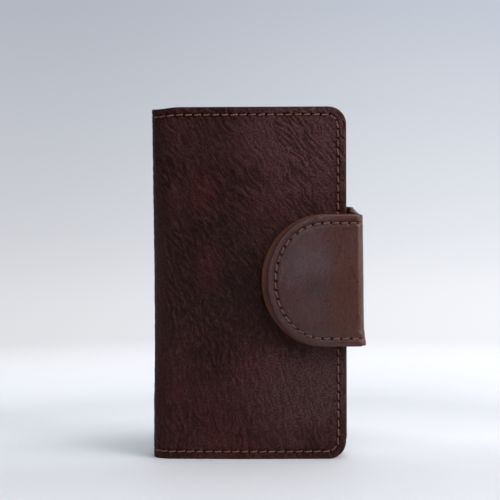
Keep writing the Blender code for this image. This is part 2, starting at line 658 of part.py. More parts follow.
def make_flap(case):
    """The flap: leather, a lining that shows a little past it, the magnet between them, and the seam."""
    leather_out = SPINE_RADIUS + FLAP_STACK
    lining_out = SPINE_RADIUS + FLAP_REST_GAP + STRAP_LINING
    turn = FLAP_FOLD + 90
    half_z = FLAP_HEIGHT / 2
    leather_bend = (FLAP_BEND[0], FLAP_BEND, turn - half_fold_gap(FLAP_BEND_OUTER, STRAP_FOLD_GAP))
    data = flat_surface("flap_leather", flap_outline(FLAP_ROUND, half_z), FRONT, leather_out, leather_bend)
    leather = case.add_part("flap_leather", data, "strap_leather", "flap")
    thicken(leather, STRAP_LEATHER)

    lining_radius = FLAP_FOLD_RADIUS - LAYER_GAP / 2
    lining_bend = (FLAP_BEND[0], FLAP_BEND, turn - half_fold_gap(lining_radius, STRAP_FOLD_GAP))
    outline = flap_outline(FLAP_ROUND + LINING_PROUD[0], half_z + LINING_PROUD[1])
    data = flat_surface("flap_lining", outline, FRONT, lining_out, lining_bend)
    lining = case.add_part("flap_lining", data, "lining_leather", "flap")
    thicken(lining, STRAP_LINING)

    magnet_back = MID_Y - lining_out - DISC_CLEARANCE
    magnet_front = magnet_back - MAGNET_THICKNESS
    inner_face = MID_Y - leather_out + STRAP_LEATHER
    cut(leather, block_cutter(case, "magnet_recess", disc_outline(DISC_RADIUS + RECESS_MARGIN),
                              magnet_front - DISC_CLEARANCE, inner_face + CUT_PAST))
    magnet = case.add_part("flap_magnet", flat_surface("flap_magnet", disc_outline(DISC_RADIUS), FRONT,
                                                       MID_Y - magnet_front), "magnet", "flap")
    thicken(magnet, MAGNET_THICKNESS)
    sewn(case, leather, "flap_needle_thread", flap_seam(leather_out), "flap")
    # the bobbin side lies in a groove of the lining's inner face, which rests on the front cover
    inside = flap_seam(SPINE_RADIUS + FLAP_REST_GAP)
    cut(lining, groove(case, "groove_flap_bobbin", inside))
    thread(case, "flap_bobbin_thread", move_out(trim(inside), GROOVE_DEPTH - THREAD_CLEARANCE - THREAD / 2),
           "flap")


def make_anchor(case):
    """The strap's anchor, sewn to the outside of the back cover."""
    out = SPINE_RADIUS + ANCHOR_STACK
    turn = ANCHOR_FOLD - 90 + half_fold_gap(ANCHOR_BEND_OUTER, STRAP_FOLD_GAP)
    data = flat_surface("strap_anchor_leather", anchor_outline(), BACK, out,
                        (ANCHOR_BEND[0], ANCHOR_BEND, turn))
    leather = case.add_part("strap_anchor_leather", data, "strap_leather", "back_cover")
    thicken(leather, STRAP_LEATHER)
    left = ANCHOR_BEND[0] - ANCHOR_LENGTH + SEAM_INSET
    right = ANCHOR_BEND[0] - SEAM_INSET / 2
    half = ANCHOR_HEIGHT / 2 - SEAM_INSET
    corner = ANCHOR_CORNER - SEAM_INSET
    high = FLAP_CENTRE_Z + half
    low = FLAP_CENTRE_Z - half
    route = [(right, high),
             *ellipse_arc((left + corner, high - corner), corner, corner, 90, 180, SEAM_CORNER_STEPS),
             *ellipse_arc((left + corner, low + corner), corner, corner, 180, 270, SEAM_CORNER_STEPS),
             (right, low)]
    sewn(case, leather, "anchor_thread", flat_points(route, BACK, out), "back_cover")


def add_bodies(case):
    """The five bodies: the back cover, and one on each fold's axis. Each fold turns about a line on the
    outer face of its bend, so that nothing meets there as it opens."""
    fold_side = SPINE_RADIUS * cos(radians(FOLD_ANGLE))
    case.add_body("back_cover", (SPINE_X, MID_Y + SPINE_RADIUS))
    case.add_body("spine", (SPINE_X - fold_side, MID_Y + fold_side), "back_cover")
    case.add_body("front_cover", (SPINE_X - fold_side, MID_Y - fold_side), "spine")
    case.add_body("strap_bridge", on_bend(ANCHOR_BEND, ANCHOR_BEND_OUTER, ANCHOR_FOLD), "back_cover")
    case.add_body("flap", on_bend(FLAP_BEND, FLAP_BEND_OUTER, FLAP_FOLD), "strap_bridge")


def shade(case):
    """Shade the round sheets smooth and keep their edges sharp."""
    for obj in case.parts.objects:
        if obj.type == "MESH":
            obj.data.shade_smooth()
            obj.data.set_sharp_from_angle(angle=pi / 6)


def main():
    """Build the whole case."""
    remove_everything()
    case = Case()
    add_bodies(case)
    window = make_back_cover(case)
    make_phone_shell(case, window)
    make_spine(case)
    make_front_cover(case)
    make_pockets(case)
    make_anchor(case)
    make_bridge(case)
    make_flap(case)
    shade(case)


main()
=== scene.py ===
"""The looks of the phone wallet case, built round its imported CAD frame.

Each leather piece is a sheet with its real thickness. It is laid out flat, as (s, z) points where s is the
distance along a path in plan and z the height, given its relief, and then carried along the path. Stitches
are laid one by one through holes pressed into the sheets. Lengths are in millimetres until a mesh is made.
"""
import json
from math import acos, atan2, ceil, cos, degrees, hypot, pi, radians, sin

import bpy
import numpy as np
from mathutils import Matrix, Vector
from mathutils.geometry import delaunay_2d_cdt
from mathutils.kdtree import KDTree


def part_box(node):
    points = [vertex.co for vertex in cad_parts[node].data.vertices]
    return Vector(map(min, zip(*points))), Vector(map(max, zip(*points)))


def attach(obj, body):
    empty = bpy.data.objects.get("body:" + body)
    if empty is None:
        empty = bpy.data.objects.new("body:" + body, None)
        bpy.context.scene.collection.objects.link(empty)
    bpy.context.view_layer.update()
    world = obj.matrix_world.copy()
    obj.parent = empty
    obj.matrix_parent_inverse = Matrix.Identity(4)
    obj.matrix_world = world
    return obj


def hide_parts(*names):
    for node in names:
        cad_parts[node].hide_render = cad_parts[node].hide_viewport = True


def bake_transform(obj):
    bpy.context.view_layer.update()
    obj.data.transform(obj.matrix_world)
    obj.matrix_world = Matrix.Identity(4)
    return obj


MM = 0.001

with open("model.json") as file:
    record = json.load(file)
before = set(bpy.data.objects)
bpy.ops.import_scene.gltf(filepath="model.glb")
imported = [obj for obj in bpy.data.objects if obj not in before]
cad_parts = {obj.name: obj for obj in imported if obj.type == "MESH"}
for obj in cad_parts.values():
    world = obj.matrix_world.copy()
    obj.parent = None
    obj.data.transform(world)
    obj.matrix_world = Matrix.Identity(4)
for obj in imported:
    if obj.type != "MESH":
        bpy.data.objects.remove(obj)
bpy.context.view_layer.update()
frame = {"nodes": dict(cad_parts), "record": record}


def box_mm(node):
    """The lowest and highest corners of a CAD node, in millimetres."""
    low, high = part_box(node)
    return low / MM, high / MM


# ---- sizes and places, from the frame

front_low, front_high = box_mm("front_cover_leather")
_, back_high = box_mm("back_cover_leather")
spine_low, _ = box_mm("spine_leather")
flap_low, flap_high = box_mm("flap_leather")
anchor_low, anchor_high = box_mm("strap_anchor_leather")
_, bridge_high = box_mm("strap_bridge_leather")
magnet_low, magnet_high = box_mm("flap_magnet")

LEATHER = 1.4
LINING = 0.8
PANEL = 0.6
STRAP_LEATHER = 1.5
STRAP_LINING = 0.9
LAYER_GAP = 0.25
CORNER_RADIUS = 8.0
SEAM_INSET = 3.4
STITCH = 4.0  # from one hole to the next

COVER_HEIGHT = front_high.z
SPINE_RADIUS = (back_high.y - front_low.y) / 2
MID_Y = (back_high.y + front_low.y) / 2
SPINE_X = spine_low.x + SPINE_RADIUS
FRONT_RIGHT = front_high.x
BACK_RIGHT = back_high.x

FLAP_HEIGHT = flap_high.z - flap_low.z
FLAP_Z = (flap_high.z + flap_low.z) / 2
FLAP_LEFT = flap_low.x
FLAP_ROUND = 24.8  # horizontal half-axis of the D
MAGNET_X = (magnet_low.x + magnet_high.x) / 2
MAGNET_Z = (magnet_low.z + magnet_high.z) / 2
FLAP_BEND_RADIUS = 4.125  # outside of the strap's leather
ANCHOR_BEND_RADIUS = 3.15
ANCHOR_CORNER = 9.0
ANCHOR_BEND_INSET = 0.1  # the anchor's bend starts this far inside the back cover's edge
FLAP_BEND = (bridge_high.x - FLAP_BEND_RADIUS, flap_low.y + FLAP_BEND_RADIUS)
ANCHOR_BEND = (BACK_RIGHT - ANCHOR_BEND_INSET, anchor_high.y - ANCHOR_BEND_RADIUS)
ANCHOR_HEIGHT = anchor_high.z - anchor_low.z

# How far the outer faces of the lower layers lie inside the path of the top one
LINING_IN = LEATHER + LAYER_GAP
CASH_IN = LINING_IN + LINING + LAYER_GAP
CARD_STEP = PANEL + LAYER_GAP
STRAP_LINING_IN = STRAP_LEATHER + LAYER_GAP

FINE = 0.46  # vertex pitch of the faces that show their grain
COARSE = 1.6
EDGE_STEP = 0.5  # between the vertices along an outline


# ---- noise

def noise(x, z, grain, seed):
    """Smooth gradient noise, from about -1 to 1, whose features are about grain in size."""
    shuffled = np.random.default_rng(seed).permutation(256)
    x = x / grain
    z = z / grain
    cell_x = np.floor(x).astype(int)
    cell_z = np.floor(z).astype(int)
    dx = x - cell_x
    dz = z - cell_z

    def corner(right, up):
        angle = shuffled[(shuffled[(cell_x + right) % 256] + cell_z + up) % 256] * (2 * pi / 256)
        return np.cos(angle) * (dx - right) + np.sin(angle) * (dz - up)

    ease_x = dx * dx * dx * (dx * (dx * 6 - 15) + 10)
    ease_z = dz * dz * dz * (dz * (dz * 6 - 15) + 10)
    low = corner(0, 0) * (1 - ease_x) + corner(1, 0) * ease_x
    high = corner(0, 1) * (1 - ease_x) + corner(1, 1) * ease_x
    return (low * (1 - ease_z) + high * ease_z) * 1.5


def smooth(t):
    """A smooth step from 0 to 1 as t goes from 0 to 1."""
    t = np.clip(t, 0, 1)
    return t * t * (3 - 2 * t)


def streaks(s, z, angle, length, width, seed):
    """Creases that run at an angle, in degrees from the s axis: 1 on a crease, 0 away from it."""
    along = s * cos(radians(angle)) + z * sin(radians(angle))
    across = -s * sin(radians(angle)) + z * cos(radians(angle))
    across = across + 1.6 * noise(s, z, 9.0, seed + 1) + 0.5 * noise(s, z, 3.0, seed + 2)
    return 1 - np.abs(noise(along * width / length, across, width, seed))


# ---- paths in plan

class Path:
    """Straights and anticlockwise arcs in plan that a sheet's outer face follows, its outside on the right.
    s is the distance along it. Past either end the end piece goes on."""

    def __init__(self, *parts, zero=0.0):
        self.parts = parts
        lengths = [self.length_of(part) for part in parts]
        self.starts = np.concatenate([[0.0], np.cumsum(lengths)[:-1]]) - zero

    @staticmethod
    def length_of(part):
        if len(part) == 2:
            (ax, ay), (bx, by) = part
            return hypot(bx - ax, by - ay)
        return part[1] * radians(part[3] - part[2])

    def place(self, s, out):
        """x, y at the distances s along the path and out beyond it, and the outward normals."""
        s, out = np.broadcast_arrays(np.asarray(s, float), np.asarray(out, float))
        which = np.clip(np.searchsorted(self.starts, s, side="right") - 1, 0, len(self.parts) - 1)
        x = np.zeros(s.shape)
        y = np.zeros(s.shape)
        nx = np.zeros(s.shape)
        ny = np.zeros(s.shape)
        for i, part in enumerate(self.parts):
            here = which == i
            run = s[here] - self.starts[i]
            if len(part) == 2:
                (ax, ay), (bx, by) = part
                length = hypot(bx - ax, by - ay)
                ux, uy = (bx - ax) / length, (by - ay) / length
                nx[here], ny[here] = uy, -ux
                x[here] = ax + ux * run
                y[here] = ay + uy * run
            else:
                (cx, cy), radius, first, _ = part
                angle = radians(first) + run / radius
                nx[here], ny[here] = np.cos(angle), np.sin(angle)
                x[here] = cx + radius * nx[here]
                y[here] = cy + radius * ny[here]
        return x + nx * out, y + ny * out, nx, ny


HALF_SPINE = SPINE_RADIUS * pi / 2
BACK_Y = MID_Y + SPINE_RADIUS
FRONT_Y = MID_Y - SPINE_RADIUS
cover_path = Path(
    ((BACK_RIGHT, BACK_Y), (SPINE_X, BACK_Y)),
    ((SPINE_X, MID_Y), SPINE_RADIUS, 90, 270),
    ((SPINE_X, FRONT_Y), (FRONT_RIGHT, FRONT_Y)),
    zero=BACK_RIGHT - SPINE_X + HALF_SPINE)          # s is 0 half way round the spine
FRONT_FLAT = HALF_SPINE - SPINE_X  # add x to get s on the front
BACK_FLAT = -HALF_SPINE + SPINE_X  # subtract x to get s on the back

bend_across = ANCHOR_BEND[0] - FLAP_BEND[0]
bend_back = ANCHOR_BEND[1] - FLAP_BEND[1]
BRIDGE_NORMAL = degrees(atan2(bend_back, bend_across)
                        - acos((FLAP_BEND_RADIUS - ANCHOR_BEND_RADIUS) / hypot(bend_across, bend_back)))


def on_bend(centre, radius, angle):
    """A point in plan on a bend."""
    return (centre[0] + radius * cos(radians(angle)), centre[1] + radius * sin(radians(angle)))


bridge_start = on_bend(FLAP_BEND, FLAP_BEND_RADIUS, BRIDGE_NORMAL)
bridge_end = on_bend(ANCHOR_BEND, ANCHOR_BEND_RADIUS, BRIDGE_NORMAL)
BRIDGE_LENGTH = hypot(bridge_end[0] - bridge_start[0], bridge_end[1] - bridge_start[1])
FLAP_BEND_LENGTH = FLAP_BEND_RADIUS * radians(BRIDGE_NORMAL + 90)
ANCHOR_BEND_LENGTH = ANCHOR_BEND_RADIUS * radians(90 - BRIDGE_NORMAL)
flap_y = flap_low.y
anchor_y = anchor_high.y
strap_path = Path(
    ((FLAP_LEFT, flap_y), (FLAP_BEND[0], flap_y)),
    (FLAP_BEND, FLAP_BEND_RADIUS, -90, BRIDGE_NORMAL),
    (bridge_start, bridge_end),
    (ANCHOR_BEND, ANCHOR_BEND_RADIUS, BRIDGE_NORMAL, 90),
    ((ANCHOR_BEND[0], anchor_y), (anchor_low.x, anchor_y)),
    zero=FLAP_BEND[0] - FLAP_LEFT + FLAP_BEND_LENGTH)   # s is 0 where the bridge's straight begins
FLAP_FLAT = -FLAP_BEND_LENGTH - FLAP_BEND[0]  # add x to get s on the flap
ANCHOR_FLAT = BRIDGE_LENGTH + ANCHOR_BEND_LENGTH + ANCHOR_BEND[0]  # subtract x to get s on the anchor


# ---- the soft shape of the whole

SPINE_BOW = ((0, -0.5), (20, -0.38), (50, 0.2), (90, 0.26), (125, 0.0), (156, -0.25))  # (height, inwards)
BOW_REACH = 12  # how far past the spine's bend its bow is felt
FRONT_ROLL = 1.3  # how far the front cover sinks towards the spine
ROLL_START = -5  # the x where that begins
ROLL_WIDTH = 32
SPINE_DIP = 1.0  # how far the spine's top edge sinks
DIP_START = 2  # how far past the spine's bend that begins
DIP_WIDTH = 11
DIP_LOW = 100  # the height where it begins
DIP_HEIGHT = 56


def ease_between(z, knots):
    """Smooth values between (z, value) knots."""
    zs, values = np.array(knots, float).T
    i = np.clip(np.searchsorted(zs, z, side="right") - 1, 0, len(zs) - 2)
    return values[i] + (values[i + 1] - values[i]) * smooth((z - zs[i]) / (zs[i + 1] - zs[i]))


def cover_place(s, z, out):
    """The place in space of a point on a cover sheet, with its normal. The front cover rolls down to the
    spine, whose sides are a little hollow and whose top edge has sunk."""
    x, y, nx, ny = cover_path.place(s, out)
    z = np.broadcast_to(z, x.shape)
    y = y + FRONT_ROLL * smooth((ROLL_START - x) / ROLL_WIDTH) * np.clip(-ny, 0, 1) ** 2
    z = z - SPINE_DIP * smooth((SPINE_X + DIP_START - x) / DIP_WIDTH) * smooth((z - DIP_LOW) / DIP_HEIGHT)
    x = x + ease_between(z, SPINE_BOW) * smooth((SPINE_X + BOW_REACH - x) / (BOW_REACH + SPINE_RADIUS))
    return np.stack([x, y, z], -1), np.stack([nx, ny, np.zeros(x.shape)], -1)


FLAP_DOME = 1.3  # how far the middle of the flap stands proud
DOME_LEFT = 5  # the x where the dome begins
DOME_EASE = 16  # the width over which it rises and falls
DOME_HALF = 0.62  # its half height as a share of the flap's height
HOLLOW_X = 24
HOLLOW_BELOW = 2  # how far the hollow's middle lies below the flap's
HOLLOW_DEPTH = 0.35


def flap_dome(x, z):
    """The flap's soft dome over its magnet, with a faint hollow in the middle."""
    along = smooth((x - DOME_LEFT) / DOME_EASE) * smooth((FLAP_BEND[0] + 1 - x) / DOME_EASE)
    up = np.clip(1 - ((z - FLAP_Z) / (FLAP_HEIGHT * DOME_HALF)) ** 2, 0, 1)
    hollow = np.exp(-((x - HOLLOW_X) / 5.5) ** 2 - ((z - FLAP_Z + HOLLOW_BELOW) / 4.0) ** 2)
    return FLAP_DOME * along * up - HOLLOW_DEPTH * hollow


HELD_RADIUS = 9.5  # the lining lies flat over the magnet this far out
LEAN_REACH = 8.0  # how far along the strap the bend's lean is felt
LEAN_LOW = 0.7  # how much further out the bend leans at its bottom than at its top
LEAN_BACK = 0.2  # how far its top leans in
CURL = 0.9  # how much further out its bottom edge curls
CURL_START = 0.86  # the share of the height, from the top, where the curl begins
CURL_SPAN = 0.16


def strap_place(s, z, out):
    """The place in space of a point on a strap sheet, with its normal. The strap's bend leans out
    towards its bottom edge, where it curls away from the case."""
    x, y, nx, ny = strap_path.place(s, out)
    z = np.broadcast_to(z, x.shape)
    near_bend = np.exp(-((s + FLAP_BEND_LENGTH / 2) / LEAN_REACH) ** 2)
    below = (FLAP_Z + FLAP_HEIGHT / 2 - z) / FLAP_HEIGHT
    curl = smooth((below - CURL_START) / CURL_SPAN)
    on_lining = np.asarray(out) < -STRAP_LINING_IN + 0.01
    to_magnet = np.hypot(x - MAGNET_X, z - MAGNET_Z)
    held = np.where(on_lining, np.exp(-(to_magnet / HELD_RADIUS) ** 4), 0.0)
    y = y - flap_dome(x, z) * (1 - held) * np.clip(-ny, 0, 1) ** 2
    x = x + near_bend * (LEAN_LOW * below + CURL * curl - LEAN_BACK)
    return np.stack([x, y, z], -1), np.stack([nx, ny, np.zeros(x.shape)], -1)


# ---- outlines, as (s, z) points

def arc(centre, half_s, half_z, first, last, step=0.5):
    """Points on an ellipse's arc between two angles in degrees."""
    steps = max(4, ceil(max(half_s, half_z) * abs(radians(last - first)) / step))
    angles = np.radians(np.linspace(first, last, steps + 1))
    return [(centre[0] + half_s * cos(a), centre[1] + half_z * sin(a)) for a in angles]


def even(points, step, closed=False):
    """Points set out evenly along a route."""
    points = np.array(points, float)
    if closed:
        points = np.vstack([points, points[:1]])
    lengths = np.hypot(*np.diff(points, axis=0).T)
    keep = np.concatenate([[True], lengths > 1e-9])
    points = points[keep]
    at = np.concatenate([[0.0], np.cumsum(lengths[lengths > 1e-9])])
    count = max(2, round(at[-1] / step))
    where = np.linspace(0, at[-1], count + 1)
    found = np.stack([np.interp(where, at, points[:, 0]), np.interp(where, at, points[:, 1])], -1)
    return found[:-1] if closed else found


def corners(left, right, low, high, radii, first=0):
    """The rounded corners of a rectangle, anticlockwise, one for each radius. Corner 0 is the lower right."""
    places = ((right, low, -1, 1), (right, high, -1, -1), (left, high, 1, -1), (left, low, 1, 1))
    points = []
    for number, radius in enumerate(radii, first):
        s, z, to_s, to_z = places[number]
        centre = (s + to_s * radius, z + to_z * radius)
        points += arc(centre, radius, radius, 90 * number - 90, 90 * number)
    return points


def open_cover(free, inset=0.0):
    """A cover's edge from the middle of the spine round its free side, anticlockwise, moved in by inset."""
    high = COVER_HEIGHT - inset
    radii = [CORNER_RADIUS - inset] * 2
    if free > 0:
        return [(0.0, inset), *corners(0.0, free - inset, inset, high, radii), (0.0, high)]
    return [(0.0, high), *corners(free + inset, 0.0, inset, high, radii, first=2), (0.0, inset)]


# ---- meshes

def link(name, data):
    """A new object in the scene."""
    obj = bpy.data.objects.new(name, data)
    bpy.context.scene.collection.objects.link(obj)
    return obj


def smooth_mesh(name, points, faces):
    mesh = bpy.data.meshes.new(name)
    mesh.from_pydata(points, [], faces)
    mesh.shade_smooth()
    return mesh


def leather_mesh(name, points, faces, flat):
    """A smooth mesh with a flat place in metres for each vertex, kept in a UV layer."""
    mesh = smooth_mesh(name, (np.asarray(points) * MM).tolist(), faces)
    corners = np.zeros(len(mesh.loops), np.int32)
    mesh.loops.foreach_get("vertex_index", corners)
    layer = mesh.uv_layers.new(name="flat")
    layer.data.foreach_set("uv", flat[corners].astype(np.float32).ravel())
    return mesh


def store(mesh, name, values):
    """Keep a number per vertex for the materials to read."""
    attribute = mesh.attributes.new(name, "FLOAT", "POINT")
    attribute.data.foreach_set("value", np.asarray(values, np.float32))


def nearest_distance(points, to):
    """Each point's distance to the nearest of the others."""
    tree = KDTree(len(to))
    for i, p in enumerate(to):
        tree.insert((p[0], p[1], 0), i)
    tree.balance()
    return np.array([tree.find((p[0], p[1], 0))[2] for p in points])


def inside(points, loop):
    """True for the points inside a closed loop."""
    x, y = points[:, 0], points[:, 1]
    found = np.zeros(len(points), bool)
    for (ax, ay), (bx, by) in zip(loop, np.roll(loop, -1, axis=0)):
        if ay != by:
            crosses = (ay > y) != (by > y)
            found ^= crosses & (x < (bx - ax) * (y - ay) / (by - ay) + ax)
    return found


ROUND_STEPS = 4
TOP_SHOULDER = 0.35  # from the upper round to the outer face's own vertices
LOW_SHOULDER = 0.5


def edge_profile(thickness, top, bottom):
    """(inset, depth) pairs over a sheet's edge, with rounds of the two radii."""
    turn = [radians(90 * i / ROUND_STEPS) for i in range(ROUND_STEPS + 1)]
    upper = [(top * (1 - sin(a)), top * (1 - cos(a))) for a in turn]
    lower = [(bottom * (1 - sin(a)), thickness - bottom * (1 - cos(a))) for a in reversed(turn)]
    return [(top + TOP_SHOULDER, 0.0), *upper, *lower, (bottom + LOW_SHOULDER, thickness)]


ROW_SHARE = 0.866  # from row to row, as a share of the pitch


def grid_points(low, high, pitch):
    """Staggered points over a box."""
    rows = int((high[1] - low[1]) / (pitch * ROW_SHARE)) + 1
    cols = int((high[0] - low[0]) / pitch) + 2
    s, z = np.meshgrid(np.arange(cols) * pitch, np.arange(rows) * pitch * ROW_SHARE)
    s[1::2] += pitch / 2
    return np.stack([s.ravel() + low[0], z.ravel() + low[1]], -1)


HOLE_RINGS = (0.2, 0.38, 0.52, 0.66, 0.86)
HOLE_SIDES = 10
HOLE_CLEAR = 0.25  # from a hole's last ring to the face's grid
LOOP_STEP = 0.25  # between the points that stand for a loop
LOOP_CLEAR = 0.55  # from a loop to the grid, as a share of the pitch
HOLE_RADIUS = 0.42
HOLE_FALL = 1.9  # a hole's slope ends at this many radii


def face_points(loops, pitch, holes, extra):
    """The inner vertices of a face: a staggered grid inside the first loop and outside the others,
    with rings round each stitch hole."""
    outer = loops[0]
    points = grid_points(outer.min(0), outer.max(0), pitch)
    points = np.vstack([points, extra])
    points = points[inside(points, outer)]
    for loop in loops[1:]:
        points = points[~inside(points, loop)]
    dense = np.vstack([even(loop, LOOP_STEP, closed=True) for loop in loops])
    points = points[nearest_distance(points, dense) > LOOP_CLEAR * min(pitch, EDGE_STEP)]
    if len(holes):
        points = points[nearest_distance(points, holes) > HOLE_RINGS[-1] + HOLE_CLEAR]
        turn = np.arange(HOLE_SIDES) * 2 * pi / HOLE_SIDES
        ring = np.concatenate([[(0.0, 0.0)], *[
            np.stack([r * np.cos(turn), r * np.sin(turn)], -1) for r in HOLE_RINGS]])
        points = np.vstack([points, (holes[:, None] + ring[None]).reshape(-1, 2)])
    return points


def triangles(loops, points):
    """Triangles over the loops' vertices and then the points, anticlockwise."""
    coords = np.vstack([*loops, points])
    edges = []
    start = 0
    for loop in loops:
        n = len(loop)
        edges += [(start + i, start + (i + 1) % n) for i in range(n)]
        start += n
    centre = coords.mean(0)
    found = delaunay_2d_cdt([Vector(c - centre) for c in coords], edges, [], 1, 1e-7)
    verts, _, faces, originals = found[0], found[1], found[2], found[3]
    if len(verts) != len(coords):
        print("sheet: the triangulation has", len(verts), "vertices for", len(coords))
    index = np.array([o[0] for o in originals])
    faces = index[np.array([tuple(f) for f in faces])]
    a, b, c = (coords[faces[:, i]] for i in range(3))
    area = (b[:, 0] - a[:, 0]) * (c[:, 1] - a[:, 1]) - (b[:, 1] - a[:, 1]) * (c[:, 0] - a[:, 0])
    faces[area < 0] = faces[area < 0][:, ::-1]
    keep = np.ones(len(faces), bool)
    middle = (a + b + c) / 3
    for loop in loops[1:]:
        keep &= ~inside(middle, loop)
    return faces[keep]


SEAM_LINE_STEP = 0.3  # between the points of a seam's line
SEAM_CLEAR = 1.5  # a pocket's panel reaches at least this far past the holes in it
RIDGE_SHARE = 0.35  # the ridges beside a seam's gutter, as a share of its depth
RIDGE_AWAY = 1.9
RIDGE_WIDTH = 0.9
GUTTER_SHADE = 0.45  # how dark the gutter's painted shadow line is beside its holes
GUTTER_WIDTH = 0.62


class Seam:
    """A row of stitch holes, and the points of the line that they lie on."""

    def __init__(self, holes, line):
        self.holes = holes
        self.line = line

    def within(self, left, high):
        """The part of the seam that a pocket's panel covers."""
        return Seam(*(points[(points[:, 0] > left + SEAM_CLEAR) & (points[:, 1] < high - SEAM_CLEAR)]
                      for points in (self.holes, self.line)))


def seam_along(route):
    """A seam along a route of (s, z) points."""
    return Seam(even(route, STITCH), even(route, SEAM_LINE_STEP))


def holes_of(seams):
    return np.vstack([np.zeros((0, 2)), *(seam.holes for seam in seams)])


def in_hole(distance):
    """1 in a stitch hole and 0 away from it."""
    return smooth(HOLE_FALL - distance / HOLE_RADIUS)


def seam_relief(points, seams, depth=0.16, width=0.85, hole=0.95):
    """The gutter that stitches pull into leather, and their holes."""
    height = np.zeros(len(points))
    for seam in seams:
        gap = nearest_distance(points, seam.line)
        height -= depth * np.exp(-(gap / width) ** 2)
        height += RIDGE_SHARE * depth * np.exp(-((gap - RIDGE_AWAY) / RIDGE_WIDTH) ** 2)
        height -= hole * in_hole(nearest_distance(points, seam.holes))
    return height


CUT_CLEAR = 0.6  # how far a cut's rows stay inside the edge's rings
WALL_MARGIN = 0.12  # how far the bare edge starts below the faces
RIM_WIDTH = 1.6  # how far in from the edge the burnish reaches
CUT_TOLERANCE = 1e-6
BESIDE_CUT = (0.08, 0.25)  # extra rows beside a cut, so that the face stays smooth over it
UNDER_SEAM = (0.08, 0.75, 0.3)  # on an inner face: the gutter's depth and width, and the holes' depth


def edge_rings(chain, profile, is_open):
    """The rings of vertices that carry a sheet round its edge, as (points, depth) pairs."""
    if is_open:
        along = np.gradient(chain, axis=0)
        along[0] = (np.sign(chain[1, 0] - chain[0, 0]), 0)
        along[-1] = (np.sign(chain[-1, 0] - chain[-2, 0]), 0)
    else:
        along = np.roll(chain, -1, axis=0) - np.roll(chain, 1, axis=0)
    along = along / np.hypot(*along.T)[:, None]
    inward = np.stack([-along[:, 1], along[:, 0]], -1)
    return [(chain + inward * inset, depth) for inset, depth in profile]


def cut_rows(chain, cut, reach):
    """A vertex for each millimetre down a sheet's cut, which both its faces share."""
    first, last = chain[-1][1], chain[0][1]
    count = int(abs(first - last))
    turn = np.sign(last - first)
    heights = np.linspace(first + turn * reach, last - turn * reach, count)
    return np.stack([np.full(count, cut, float), heights], -1)


